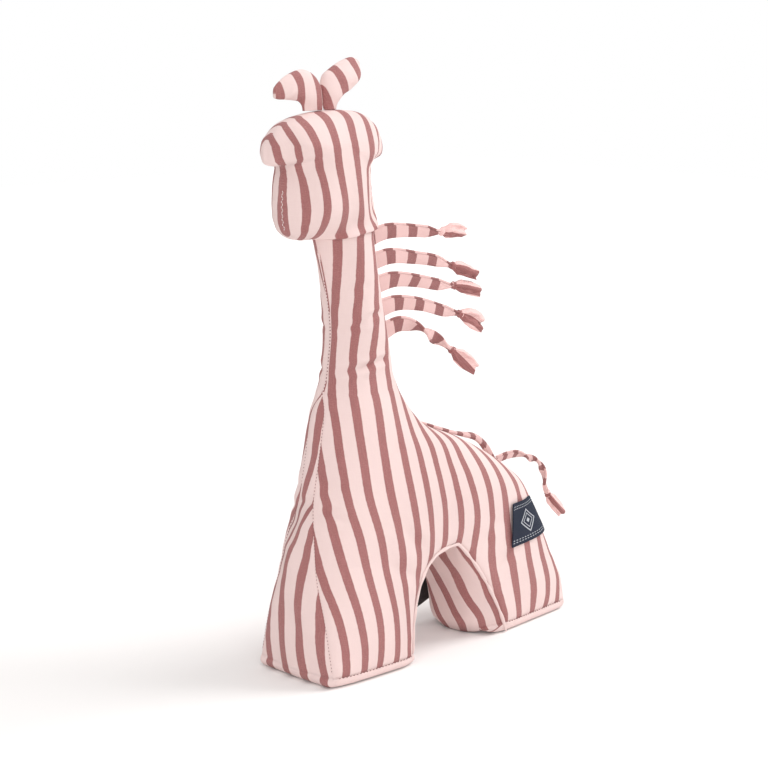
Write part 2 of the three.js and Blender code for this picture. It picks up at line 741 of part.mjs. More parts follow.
// Materials
const material = (color, roughness) => new THREE.MeshStandardMaterial({ color, roughness, metalness: 0 });
const COTTON = material(0xf3d6d2, 0.9);
const STRIPE = material(0xb07070, 0.9);
const TAPE = material(0xf4c8c5, 0.9);
const NAVY = material(0x263044, 0.7);
const SATIN = material(0x141416, 0.5);
const PLASTIC = material(0xe9e6df, 0.45);
const BEAD = material(0xd8b65a, 0.4);

const giraffe = new THREE.Group();
function piece(name, geometry, finish) {
  const mesh = new THREE.Mesh(geometry, finish);
  mesh.name = name;
  giraffe.add(mesh);
  return mesh;
}

// The chest holds the capsule in a pocket that opens at the arch side.
const pocket = new THREE.SphereGeometry(CAPSULE_RADIUS + GAP, 20, 14)
  .rotateX(Math.PI / 2)
  .translate(CAPSULE_X, 0, CAPSULE_HEIGHT);
const pocketMouth = new THREE.CylinderGeometry(4, 4, CAPSULE_HEIGHT, 10)
  .rotateX(Math.PI / 2)
  .translate(CAPSULE_X, 0, CAPSULE_HEIGHT / 2);

piece("torso", cut(torso(), archSpace(), pocket, pocketMouth), COTTON);
piece("front_leg", cut(frontLeg(), archSpace()), COTTON);
piece("rear_leg", cut(rearLeg(), archSpace()), COTTON);
piece("neck", cut(neck(), head(GAP)), COTTON);
piece("head", head(), COTTON);
piece("ear_lobe_front", earLobe(-1), COTTON);
piece("ear_lobe_rear", earLobe(1), COTTON);
piece("front_gusset", frontGussetStrip(), STRIPE);
piece("rear_gusset", rearGussetStrip(), STRIPE);
piece("arch_lining", archLining(), STRIPE);
piece("front_sole", frontSole(), STRIPE);
piece("rear_sole", rearSole(), STRIPE);
piece("horn_front", horn(HORN_LINES.front), TAPE);
piece("horn_rear", horn(HORN_LINES.rear), TAPE);
for (let i = 0; i < MANE_LINES.length; i++) piece(`mane_tape_${i + 1}`, maneTape(i), TAPE);
piece("tail", tail(), TAPE);
piece("side_label", sideLabel(), NAVY);
const tag = piece("care_tag", careTag(), SATIN);
const TAG_SIDE = REAR_ARCH_WIDTH / 2 + FABRIC + 2 * GAP;
tag.position.copy(turned(archEdge(TAG_HEIGHT, true) - 2 * FABRIC, TAG_SIDE, TAG_HEIGHT));
piece("capsule_top", capsuleHalf(true), PLASTIC).position.set(CAPSULE_X, 0, CAPSULE_HEIGHT);
piece("capsule_bottom", capsuleHalf(false), PLASTIC).position.set(CAPSULE_X, 0, CAPSULE_HEIGHT);
const BEAD_RING = CAPSULE_RADIUS - CAPSULE_WALL - BEAD_RADIUS - 4;
const BEAD_DROP = Math.sqrt((CAPSULE_RADIUS - CAPSULE_WALL - BEAD_RADIUS - GAP) ** 2 - BEAD_RING ** 2);
for (let i = 0; i < BEADS; i++) {
  const angle = (2 * Math.PI * i) / BEADS;
  piece(`bead_${i + 1}`, bead(), BEAD).position.set(
    CAPSULE_X + BEAD_RING * Math.cos(angle),
    BEAD_RING * Math.sin(angle),
    CAPSULE_HEIGHT - BEAD_DROP,
  );
}

// The frame's origin is the middle of the footprint of the whole toy, on the floor.
giraffe.updateMatrixWorld(true);
const middle = new THREE.Box3().setFromObject(giraffe, true).getCenter(new THREE.Vector3());
giraffe.position.set(-middle.x, -middle.y, 0);

export default giraffe;
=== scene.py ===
"""Visual model of a stuffed fabric giraffe rattle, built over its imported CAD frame."""
import math

import bpy
import numpy as np
from bpy.props import FloatProperty, FloatVectorProperty, PointerProperty
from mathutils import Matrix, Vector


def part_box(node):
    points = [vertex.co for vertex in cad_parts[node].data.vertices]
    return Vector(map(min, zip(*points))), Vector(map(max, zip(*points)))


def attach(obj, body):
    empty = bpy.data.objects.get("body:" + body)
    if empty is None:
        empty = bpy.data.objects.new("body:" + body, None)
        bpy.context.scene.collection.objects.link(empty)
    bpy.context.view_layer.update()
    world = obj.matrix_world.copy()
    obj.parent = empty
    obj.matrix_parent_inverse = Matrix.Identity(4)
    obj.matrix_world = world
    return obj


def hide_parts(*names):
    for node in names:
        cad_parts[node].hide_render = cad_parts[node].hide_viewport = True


bl_info = {
    "name": "Fabric giraffe rattle",
    "version": (1, 0, 0),
    "blender": (4, 5, 0),
    "location": "3D View > Sidebar > Giraffe",
    "description": "Sews the striped cover, tapes, horns and labels over the giraffe's CAD frame",
    "category": "Mesh",
}

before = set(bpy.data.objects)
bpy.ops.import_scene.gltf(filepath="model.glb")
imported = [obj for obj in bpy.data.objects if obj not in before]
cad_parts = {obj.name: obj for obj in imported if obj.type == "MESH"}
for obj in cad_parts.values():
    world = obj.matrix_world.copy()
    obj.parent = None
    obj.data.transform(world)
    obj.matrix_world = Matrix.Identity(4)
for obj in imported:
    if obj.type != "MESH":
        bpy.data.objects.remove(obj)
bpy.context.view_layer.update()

# Driving sizes in millimetres, as in the CAD source: nose towards -X, up +Z, toe at TOE
TOE = -84.5
HEEL = TOE + 192
ARCH_FRONT = TOE + 60
ARCH_REAR = HEEL - 54.5
ARCH_HEIGHT = 61
ARCH_TOP = ARCH_FRONT + 0.47 * (ARCH_REAR - ARCH_FRONT)
ARCH_POWERS = (2.8, 1.2)  # how square the arch is at the front leg and at the hind leg
THROAT = TOE + 25
NAPE = TOE + 57
NECK_BASE = 158
NECK_LEAN = 5  # how far the neck leans forward where it meets the head
HEAD_BASE = 234
HEAD_X = TOE + 22
HEAD_TOP = 300
FRONT_APEX = 152
REAR_APEX = ARCH_HEIGHT + 23
REAR_TURN = math.radians(6)
TURN_START = 20
TURN_LENGTH = 40
GUSSET_SWELL = 4
ARCH_SWELL = 14
CLOTH = 0.8
BOTTOM_SEAM = 5.5  # height of the seam round each foot
PANEL_TOP = 246  # the neck goes up into the head as far as this

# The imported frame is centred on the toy's footprint: the front sole says by how much.
sole_low, sole_high = (np.array(corner) * 1000 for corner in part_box("front_sole"))
CENTRING = np.array([sole_low[0] - (TOE - GUSSET_SWELL), (sole_low[1] + sole_high[1]) / 2, 0])


def metres(points):
    """Points in the drawing's millimetres as points of the frame, in metres."""
    return (np.asarray(points) + CENTRING) / 1000


def clamp(t):
    return np.clip(t, 0, 1)


def ease(t):
    return clamp(t) ** 2 * (3 - 2 * clamp(t))


def mix(a, b, t):
    return a + (b - a) * t


def spline(points, per=16):
    """Points on a centripetal Catmull-Rom curve through the given ones, so many to each span."""
    p = np.asarray(points, float)
    p = np.vstack([2 * p[0] - p[1], p, 2 * p[-1] - p[-2]])
    gap = np.sqrt(np.linalg.norm(np.diff(p, axis=0), axis=1))[:, None]
    a, b, c, d = p[:-3], p[1:-2], p[2:-1], p[3:]
    u, v, w = gap[:-2], gap[1:-1], gap[2:]
    start = ((b - a) / u - (c - a) / (u + v) + (c - b) / v) * v
    end = ((c - b) / v - (d - b) / (v + w) + (d - c) / w) * v
    t = (np.arange(per) / per)[None, :, None]
    hermite = (
        (2 * t**3 - 3 * t**2 + 1) * b[:, None]
        + (t**3 - 2 * t**2 + t) * start[:, None]
        + (3 * t**2 - 2 * t**3) * c[:, None]
        + (t**3 - t**2) * end[:, None]
    )
    return np.vstack([hermite.reshape(-1, p.shape[1]), p[-2]])


def walk(line, count):
    """So many points along a polyline, an equal length apart."""
    length = lengths(line)
    places = np.linspace(0, length[-1], count)
    return np.stack([np.interp(places, length, column) for column in line.T], -1)


def lengths(line):
    """How far along a polyline each of its points lies."""
    return np.concatenate([[0], np.cumsum(np.linalg.norm(np.diff(line, axis=0), axis=1))])


def falling(points):
    """The value at height z of a curve through [value, height] points listed from the top down."""
    line = spline(points)[::-1]
    return lambda z: np.interp(z, line[:, 1], line[:, 0])


def ridge(along, down):
    """A point of the ridge by its share of the way from the neck's foot to the heel and the rump."""
    return [mix(NAPE + 10, HEEL, along), mix(NECK_BASE, REAR_APEX, down)]


back_edge = falling(
    [
        [NAPE - NECK_LEAN, HEAD_BASE],
        [NAPE, NECK_BASE + 44],
        [NAPE + 6, NECK_BASE + 20],
        ridge(0, 0),
        ridge(0.07, 0.21),
        ridge(0.19, 0.42),
        ridge(0.41, 0.58),
        ridge(0.7, 0.865),
        ridge(0.84, 1.055),
        ridge(0.93, 1.35),
        [HEEL, REAR_APEX - 50],
        [HEEL + 5, 19],
        [HEEL + 2, 0],
    ]
)
front_edge = falling(
    [
        [THROAT - 2 * NECK_LEAN, HEAD_BASE],
        [THROAT - 6, HEAD_BASE - 14],
        [THROAT - 3.2, HEAD_BASE - 25],
        [THROAT - 1, NECK_BASE + 40],
        [THROAT + 0.3, NECK_BASE + 26],
        [THROAT - 1, NECK_BASE + 12],
        [THROAT - 3, NECK_BASE],
        [THROAT - 8, NECK_BASE - 13],
        [TOE + 11.5, 115],
        [TOE + 7.5, 95],
        [TOE + 3.5, 75],
        [TOE + 1.5, 55],
        [TOE + 0.5, 30],
        [TOE, 0],
    ]
)
chest_half = falling([[0, 152], [5, 144], [6, 115], [6.5, 95], [11.6, 75], [15.9, 55], [22.7, 35], [31, 0]])


def front_half(z):
    return np.where(z < FRONT_APEX, chest_half(np.minimum(z, FRONT_APEX)), 0)


def rear_half(z):
    return 25 * clamp(1 - z / REAR_APEX)


def arch_edge(z, rear):
    """The arch's side at height z: a superellipse that leans towards the front."""
    power = ARCH_POWERS[rear]
    opening = (1 - clamp(z / ARCH_HEIGHT) ** power) ** (1 / power)
    return mix(ARCH_TOP, ARCH_REAR if rear else ARCH_FRONT, opening)


def arch_line(s):
    """The same superellipse walked from the front foot over the top to the hind foot, s from 0 to 1."""
    angle = np.pi * np.minimum(s, 1 - s)
    power = np.where(s < 0.5, *ARCH_POWERS)
    rise = np.maximum(np.sin(angle), 0) ** (2 / power)
    opening = np.maximum(np.cos(angle), 0) ** (2 / power)
    side = np.where(s < 0.5, ARCH_FRONT, ARCH_REAR)
    return np.stack([mix(ARCH_TOP, side, opening), ARCH_HEIGHT * rise], -1)


def arch_half(x):
    return mix(28, 25, clamp((x - ARCH_FRONT) / (ARCH_REAR - ARCH_FRONT)))


def facing(line):
    """Unit normals of a polyline in the plane, to the right of its way."""
    along = np.gradient(line, axis=0)
    along /= np.linalg.norm(along, axis=1, keepdims=True) + 1e-9
    return np.stack([along[:, 1], -along[:, 0]], -1)


ARCH = walk(arch_line(np.linspace(0, 1, 3000)), 500)
ARCH_OUT = facing(ARCH)


def nearest(line, x, z):
    """Distance from each place to a polyline, and the number of the point that is nearest."""
    flat = np.stack([np.ravel(x), np.ravel(z)], -1)
    far, which = np.empty(len(flat)), np.empty(len(flat), int)
    for start in range(0, len(flat), 4000):
        part = flat[start : start + 4000]
        square = ((part[:, None] - line[None]) ** 2).sum(-1)
        which[start : start + 4000] = square.argmin(1)
        far[start : start + 4000] = np.sqrt(square.min(1))
    return far.reshape(np.shape(x)), which.reshape(np.shape(x))


def slice_half(x, z):
    """Half thickness of the stuffed body: a crowned slice between its edges, sharp under the chin."""
    start, end = front_edge(z), back_edge(z)
    t = clamp((x - start) / (end - start))
    front, rear = front_half(z), rear_half(z)
    low = clamp(z / ARCH_HEIGHT)
    ahead = 1 - ease((x - ARCH_FRONT) / (ARCH_REAR - ARCH_FRONT))
    middle = np.where(z < ARCH_HEIGHT, 27 + 4 * (1 - low) * ahead, mix(27, 16, ease((z - 88) / 74)))
    power = np.where(z < ARCH_HEIGHT, mix(12, 5.24, low), mix(6, 2, ease((z - 30) / 110)))
    edge = mix(front**2, rear**2, t)
    crown = np.maximum(middle**2 - (front**2 + rear**2) / 2, 0)
    rise = 1 - np.abs(2 * t - 1) ** power
    return np.sqrt(edge + crown * rise ** (1 + ease((z - NECK_BASE - 30) / 45) * (t < 0.5)))


def body_half(x, z):
    """The same, drawn in at the arch."""
    half = slice_half(x, z)
    near = clamp(nearest(ARCH, x, z)[0] / 12)
    return mix(np.minimum(arch_half(x), half), half, np.sqrt(1 - (1 - near) ** 2))


def turned(x, y, z):
    """The hind part turns aside: its middle line is straight, then an arc, then straight again."""
    angle = REAR_TURN * clamp((x - TURN_START) / TURN_LENGTH)
    arc = np.clip(x - TURN_START, 0, TURN_LENGTH)
    past = np.maximum(x - TURN_START - TURN_LENGTH, 0)
    side = arc * angle / 2 + past * np.sin(angle)
    forward = x - past * (1 - np.cos(angle))
    return np.stack([forward - y * np.sin(angle), side + y * np.cos(angle), z + 0 * x], -1)


SEAM_DIP = 0.7  # how far a seam is pulled in
SEAM_REACH = 1.8  # and how far from the seam that can be felt


def seam_pull(x, z):
    """How far the seams round a panel draw a place in: along x, along z, and across the toy."""
    front = np.exp(-np.maximum(x - front_edge(z), 0) / SEAM_REACH)
    rear = np.exp(-np.maximum(back_edge(z) - x, 0) / SEAM_REACH)
    floor = np.exp(-np.maximum(z - BOTTOM_SEAM, 0) / SEAM_REACH)
    far, which = nearest(ARCH, x, z)
    arch = np.exp(-far / SEAM_REACH)
    out = ARCH_OUT[which]
    along = SEAM_DIP * (front - rear - arch * out[..., 0])
    up = SEAM_DIP * (0.5 * floor - arch * out[..., 1])
    return along, up, SEAM_DIP * np.clip(front + rear + floor + arch, 0, 1)


def ripple(run, far, pitch, depth):
    """Gathers beside a seam: waves along it that start at the seam and fade with the distance."""
    wave = np.sin(2 * np.pi * run / pitch + 1.4 * np.sin(run / 13)) * (0.6 + 0.4 * np.sin(run / 7.3))
    return depth * wave * np.exp(-far / 5) * (1 - np.exp(-far / 1.2))


def rumple(x, z):
    """Broad, shallow unevenness of a stuffed surface, a sum of slanting waves."""
    return (
        0.34 * np.sin(x / 7.1 + z / 16.5 + 1.7 * np.sin(z / 23))
        + 0.26 * np.sin(x / 11.3 - z / 9.2 + 1.1)
        + 0.16 * np.sin(x / 4.3 + z / 5.9 + 2 * np.sin(x / 17))
    )


# Folds of the near and far side: start, end, depth and width
FOLDS = [
    [(-60, 184.5), (-41, 190.5), 0.8, 1.5],
    [(-47, 192), (-36, 193.5), 1.1, 1.5],
    [(-62, 162), (-45, 166), 1.0, 1.7],
    [(-48, 165.5), (-31, 168.5), 1.3, 1.6],
    [(-57, 206), (-44, 209), 0.35, 2.2],
    [(-16, 64), (-30, 78), 0.7, 3.2],
    [(-22, 50), (-40, 60), 0.6, 3.4],
    [(32, 56), (46, 68), 0.6, 3.0],
    [(44, 40), (60, 47), 0.6, 3.2],
    [(6, 68), (5, 86), 0.4, 3.2],
    [(-77, 92), (-66, 86), 0.8, 2.2],
    [(-76, 99), (-62, 104), 0.5, 2.6],
    [(70, 84), (60, 72), 0.5, 3.0],
]


def fold_depth(x, z):
    """Sum of the folds: each is a groove along a segment, with a low welt on both sides."""
    total = np.zeros(np.shape(x))
    for (x0, z0), (x1, z1), depth, width in FOLDS:
        length = math.hypot(x1 - x0, z1 - z0)
        way = ((x1 - x0) / length, (z1 - z0) / length)
        run = ((x - x0) * way[0] + (z - z0) * way[1]) / length
        off = ((x - x0) * way[1] - (z - z0) * way[0]) / width + 0.5 * np.sin(3 * run)
        taper = np.exp(-((np.maximum(np.abs(run - 0.5) - 0.3, 0) / 0.22) ** 2))
        total += depth * taper * (np.exp(-(off**2)) - 0.45 * np.exp(-(((np.abs(off) - 2) / 1.1) ** 2)))
    return total


def girth(x, z):
    """How far round a side each place lies from the front seam, for grids with one height to a row."""
    share = np.linspace(0, 1, 240)
    rows = []
    for places, level in zip(x, z[:, 0]):
        across = mix(front_edge(level), back_edge(level), share)
        half = slice_half(across, np.full(share.shape, level))
        rows.append(np.interp(places, across, lengths(np.stack([across, half], -1))))
    return np.array(rows)


PERIOD = 12.5  # from one stripe to the next


def strung(guides, run, z):
    """Pattern place: between guide stripes, given by number as lines of [place, height], it goes
    evenly from one to the next, and past the outer ones it follows the cloth."""
    numbers = sorted(guides)
    lines = [falling(guides[number])(z) for number in numbers]
    place = PERIOD * numbers[0] + np.minimum(run - lines[0], 0) + np.maximum(run - lines[-1], 0)
    for one, two, low, high in zip(numbers, numbers[1:], lines, lines[1:]):
        place = place + PERIOD * (two - one) * clamp((run - low) / (high - low))
    return place


# Stripes of the side panels by number, as [way round from the front seam, height]
PANEL_STRIPES = {
    -2: [
        (0, 246), (-7.5, 190), (-7.5, 150), (-3, 130), (2.4, 113), (6.5, 98), (10.4, 82), (13.6, 67),
        (17.2, 51), (20.6, 34), (22.1, 18), (19.8, 0),
    ],
    -1: [
        (13.5, 246), (12.6, 235), (11.2, 226), (8.7, 215), (6, 204), (4.2, 195), (3, 184), (3, 172),
        (3.4, 164), (5, 157), (6.3, 152), (5.2, 145), (7.3, 136), (11.2, 119), (15.8, 105), (20.5, 91),
        (25, 77), (28.3, 62), (31.8, 45), (33.9, 32), (34, 24), (32.8, 15), (30.8, 0),
    ],
    0: [
        (27.5, 246), (25.3, 235), (22.8, 223), (20, 210), (17.6, 200), (16, 191), (14.8, 180),
        (14.8, 168), (15.6, 158), (17.2, 152.5), (16.8, 146), (18.9, 136), (22.1, 125), (26.5, 111),
        (31, 98), (36, 83), (39.8, 70), (43, 55), (45.4, 41), (46.6, 28), (46, 15), (43.3, 0),
    ],
    2: [
        (51, 246), (45.5, 215), (41.3, 200), (38.4, 185), (37.4, 173), (38.6, 164), (42.5, 155),
        (44.3, 151), (44.6, 145), (46.5, 135), (49, 125), (53.5, 111), (58.5, 98), (63, 83), (66, 70),
        (66.6, 60), (65.3, 50), (64, 38), (63.8, 28), (65, 14), (65.8, 0),
    ],
    4: [
        (73, 246), (65, 200), (64, 170), (67.9, 152), (67.9, 145), (69.6, 136), (71.8, 122),
        (75.9, 110), (82.2, 96), (86.2, 83), (87, 69), (84.9, 57), (81.6, 40), (80.8, 0),
    ],
    6: [
        (95, 246), (90, 180), (91, 135), (95.9, 111), (103.4, 98), (108.9, 84), (110.9, 72),
        (109.6, 60), (108.4, 49), (109.8, 37), (113.8, 24), (121.5, 12), (125.5, 0),
    ],
    8: [
        (117, 246), (114, 150), (124.5, 111), (130.5, 94.3), (135, 77), (137, 66.6), (139.1, 52),
        (140.9, 41), (144.7, 29), (147.6, 17.5), (148.4, 0),
    ],
    10: [
        (140, 246), (140, 150), (152, 105), (162, 86), (167.4, 66.6), (170.3, 52), (174, 38.3),
        (176.5, 30.6), (177.9, 23), (177.2, 16), (173.4, 0),
    ],
}


# Meshes
def skin(name, patches, shade=True):
    """One mesh from grids of points with their cloth places. Points that meet become one."""
    points = np.concatenate([p.reshape(-1, 3) for p, _ in patches])
    cloth = np.concatenate([c.reshape(-1, 2) for _, c in patches])
    quads, first = [], 0
    for p, _ in patches:
        rows, columns = p.shape[:2]
        a = first + np.arange(rows - 1)[:, None] * columns + np.arange(columns - 1)[None]
        quads.append(np.stack([a, a + 1, a + columns + 1, a + columns], -1).reshape(-1, 4))
        first += rows * columns
    quads = np.concatenate(quads)
    places = metres(points)
    _, kept, same = np.unique(np.round(places * 2e6), axis=0, return_index=True, return_inverse=True)
    same = same.reshape(-1)
    merged = same[quads]
    whole = np.all(merged != np.roll(merged, 1, axis=1), axis=1)
    split = np.concatenate([quads[~whole][:, [0, 1, 2]], quads[~whole][:, [0, 2, 3]]])
    ids = same[split]
    split = split[np.all(ids != np.roll(ids, 1, axis=1), axis=1)]
    corners = np.concatenate([quads[whole].ravel(), split.ravel()])
    sizes = np.concatenate([np.full(whole.sum(), 4), np.full(len(split), 3)])
    mesh = bpy.data.meshes.new(name)
    mesh.vertices.add(len(kept))
    mesh.vertices.foreach_set("co", places[kept].ravel())
    mesh.loops.add(len(corners))
    mesh.loops.foreach_set("vertex_index", same[corners])
    mesh.polygons.add(len(sizes))
    mesh.polygons.foreach_set("loop_start", np.concatenate([[0], np.cumsum(sizes)[:-1]]))
    mesh.polygons.foreach_set("loop_total", sizes)
    layer = mesh.uv_layers.new(name="cloth")
    layer.data.foreach_set("uv", (cloth[corners] / 100).ravel())
    mesh.polygons.foreach_set("use_smooth", np.full(len(sizes), shade))
    mesh.update()
    mesh.validate()
    obj = bpy.data.objects.new(name, mesh)
    bpy.context.scene.collection.objects.link(obj)
    return obj


def turn_out(obj):
    """Turns every face of a closed mesh round where its faces point inwards."""
    mesh = obj.data
    mesh.calc_loop_triangles()
    corners = np.empty(len(mesh.loop_triangles) * 3, int)
    mesh.loop_triangles.foreach_get("vertices", corners)
    places = np.empty(len(mesh.vertices) * 3)
    mesh.vertices.foreach_get("co", places)
    a, b, c = places.reshape(-1, 3)[corners.reshape(-1, 3)].transpose(1, 0, 2)
    if np.einsum("ij,ij->i", a, np.cross(b, c)).sum() < 0:
        mesh.flip_normals()
    return obj


def wall(obj, thickness=CLOTH):
    """Gives an open surface the thickness of cloth, inwards from its outer face."""
    solidify = obj.modifiers.new("cloth thickness", "SOLIDIFY")
    solidify.thickness = thickness / 1000
    solidify.offset = -1.0
    return obj


def finish_piece(obj, material, body, nodes=()):
    obj.data.materials.append(material)
    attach(obj, body)
    if nodes:
        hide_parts(*nodes)
    return obj


# Materials
class Tree:
    """A node tree with short ways to place nodes and join them."""

    def __init__(self, tree):
        self.tree = tree

    def node(self, kind, inputs=(), **settings):
        node = self.tree.nodes.new(kind)
        for name, value in settings.items():
            setattr(node, name, value)
        for name, value in dict(inputs).items():
            if isinstance(value, bpy.types.NodeSocket):
                self.tree.links.new(value, node.inputs[name])
            else:
                node.inputs[name].default_value = value
        return node

    def math(self, operation, a, b=0.0, c=0.0):
        return self.node("ShaderNodeMath", {0: a, 1: b, 2: c}, operation=operation).outputs[0]

    def blend(self, factor, a, b, how="MIX"):
        node = self.node("ShaderNodeMix", {0: factor, 6: a, 7: b}, data_type="RGBA", blend_type=how)
        return node.outputs[2]

    def step(self, value, low, high):
        """1 below low, 0 above high, with a soft edge between them."""
        inputs = {"Value": value, "From Min": low, "From Max": high, "To Min": 1.0, "To Max": 0.0}
        return self.node("ShaderNodeMapRange", inputs, interpolation_type="SMOOTHSTEP").outputs[0]

    def noise(self, vector, scale, detail=2.0, rough=0.5):
        inputs = {"Vector": vector, "Scale": scale, "Detail": detail, "Roughness": rough}
        return self.node("ShaderNodeTexNoise", inputs).outputs["Fac"]

    def stretch(self, vector, by):
        return self.node("ShaderNodeVectorMath", {0: vector, 1: by}, operation="MULTIPLY").outputs[0]


def group(name, inputs, outputs):
    """An empty shader group with named sockets, its tree and its group input's sockets."""
    tree = bpy.data.node_groups.new(name, "ShaderNodeTree")
    for label, (kind, value) in inputs.items():
        socket = tree.interface.new_socket(label, in_out="INPUT", socket_type=kind)
        if value is not None:
            socket.default_value = value
    for label, kind in outputs.items():
        tree.interface.new_socket(label, in_out="OUTPUT", socket_type=kind)
    work = Tree(tree)
    return work, work.node("NodeGroupInput").outputs, work.node("NodeGroupOutput").inputs


def stripes_group():
    """Yarn-dyed stripes: the place across them, folded into one period, is set against their width."""
    work, given, out = group(
        "Woven stripes",
        {
            "Cloth": ("NodeSocketVector", None),
            "Light": ("NodeSocketColor", (1, 1, 1, 1)),
            "Dark": ("NodeSocketColor", (0, 0, 0, 1)),
            "Period": ("NodeSocketFloat", PERIOD),
            "Width": ("NodeSocketFloat", 5.0),
        },
        {"Color": "NodeSocketColor", "Height": "NodeSocketFloat"},
    )
    part = work.node("ShaderNodeSeparateXYZ", {0: given["Cloth"]}).outputs
    edge = work.noise(work.stretch(given["Cloth"], (2.5, 0.5, 0)), 1.0)
    across = work.math("ADD", part[0], work.math("MULTIPLY", work.math("SUBTRACT", edge, 0.5), 0.5))
    phase = work.math("FRACT", work.math("ADD", work.math("DIVIDE", across, given["Period"]), 0.5))
    far = work.math("MULTIPLY", work.math("ABSOLUTE", work.math("SUBTRACT", phase, 0.5)), given["Period"])
    half = work.math("MULTIPLY", given["Width"], 0.5)
    stripe = work.step(work.math("SUBTRACT", far, half), -0.2, 0.2)
    warp = work.noise(work.stretch(given["Cloth"], (3.2, 0.16, 0)), 1.0, 3.0)
    weft = work.noise(work.stretch(given["Cloth"], (0.16, 3.2, 0)), 1.0, 3.0)
    pitch = 2 * math.pi / 0.42
    lattice = work.math(
        "MULTIPLY",
        work.math("SINE", work.math("MULTIPLY", part[0], pitch)),
        work.math("SINE", work.math("MULTIPLY", part[1], pitch)),
    )
    slub = work.math("MULTIPLY", work.math("ADD", warp, weft), 0.5)
    uneven = work.step(slub, 0.36, 0.64)
    dark = work.blend(
        work.math("MULTIPLY", uneven, 0.75),
        given["Dark"],
        work.blend(1.0, given["Dark"], (0.72, 0.64, 0.64, 1), "MULTIPLY"),
    )
    fleck = work.math("MULTIPLY", work.step(work.noise(given["Cloth"], 2.6, 2.0, 0.7), 0.34, 0.52), 0.15)
    dark = work.blend(fleck, dark, given["Light"])
    light = work.blend(
        work.math("MULTIPLY", uneven, 0.5),
        given["Light"],
        work.blend(1.0, given["Light"], (0.95, 0.92, 0.92, 1), "MULTIPLY"),
    )
    shade = work.math("MULTIPLY_ADD", lattice, 0.02, 1.0)
    colour = work.blend(1.0, work.blend(stripe, light, dark), shade, "MULTIPLY")
    work.tree.links.new(colour, out["Color"])
    relief = work.math("MULTIPLY_ADD", slub, 0.6, work.math("MULTIPLY", lattice, 0.5))
    work.tree.links.new(relief, out["Height"])
    return work.tree


def shader(name, **settings):
    """A Principled material. Settings are its plain sockets, with _ for a blank."""
    material = bpy.data.materials.new(name)
    material.use_nodes = True
    work = Tree(material.node_tree)
    face = material.node_tree.nodes["Principled BSDF"]
    for label, value in settings.items():
        face.inputs[label.replace("_", " ")].default_value = value
    return material, work, face


def bumpy(work, face, height, distance):
    bump = work.node("ShaderNodeBump", {"Height": height, "Distance": distance, "Strength": 0.7})
    work.tree.links.new(bump.outputs[0], face.inputs["Normal"])


def cloth_places(work):
    """The piece's own cloth places, in millimetres."""
    return work.stretch(work.node("ShaderNodeUVMap", uv_map="cloth").outputs[0], (100, 100, 0))


def striped(name, light, dark, width):
    material, work, face = shader(name, Roughness=0.88, Sheen_Weight=0.12, Sheen_Roughness=0.5)
    weave = bpy.data.node_groups.get("Woven stripes") or stripes_group()
    node = work.node("ShaderNodeGroup", node_tree=weave)
    work.tree.links.new(cloth_places(work), node.inputs["Cloth"])
    for label, value in {"Light": (*light, 1), "Dark": (*dark, 1), "Period": PERIOD, "Width": width}.items():
        node.inputs[label].default_value = value
    work.tree.links.new(node.outputs["Color"], face.inputs["Base Color"])
    bumpy(work, face, node.outputs["Height"], 0.00025)
    return material


def thread_material(name, colour):
    """Sewing thread: a plain colour with fine bright and dim twist along it."""
    material, work, face = shader(name, Roughness=0.7)
    place = work.node("ShaderNodeTexCoord").outputs["Object"]
    twist = work.noise(place, 4000.0, 1.0)
    work.tree.links.new(
        work.blend(twist, (*[c * 0.75 for c in colour], 1), (*[min(c * 1.15, 1) for c in colour], 1)),
        face.inputs["Base Color"],
    )
    bumpy(work, face, twist, 0.0001)
    return material


def linear(colour):
    """A colour written as 0 to 255 on screen, in the linear values that a node takes."""
    value = np.array(colour) / 255
    return tuple(np.where(value < 0.04045, value / 12.92, ((value + 0.055) / 1.055) ** 2.4))


class ToySettings(bpy.types.PropertyGroup):
    light: FloatVectorProperty(
        name="Light cotton",
        description="Ground colour of the cloth",
        subtype="COLOR",
        default=linear((247, 221, 217)),
    )
    dark: FloatVectorProperty(
        name="Stripe",
        description="Colour of the stripes",
        subtype="COLOR",
        default=linear((176, 112, 110)),
    )
    tape: FloatVectorProperty(
        name="Tape",
        description="Ground colour of mane and tail",
        subtype="COLOR",
        default=linear((246, 205, 201)),
    )
    navy: FloatVectorProperty(
        name="Label",
        description="Ground colour of the woven label",
        subtype="COLOR",
        default=linear((28, 34, 50)),
    )
    stripe: FloatProperty(
        name="Stripe width", description="Width of a stripe in millimetres", default=4.9, min=1, max=11
    )
    wrinkles: FloatProperty(
        name="Wrinkles", description="How deep the folds and gathers are", default=1.0, min=0, max=2
    )
    lamp: FloatProperty(
        name="Key lamp", description="Power of the large lamp", subtype="POWER", default=12.0, min=0
    )


class Step(bpy.types.Operator):
    """One step of the build."""

    bl_options = {"REGISTER", "UNDO"}


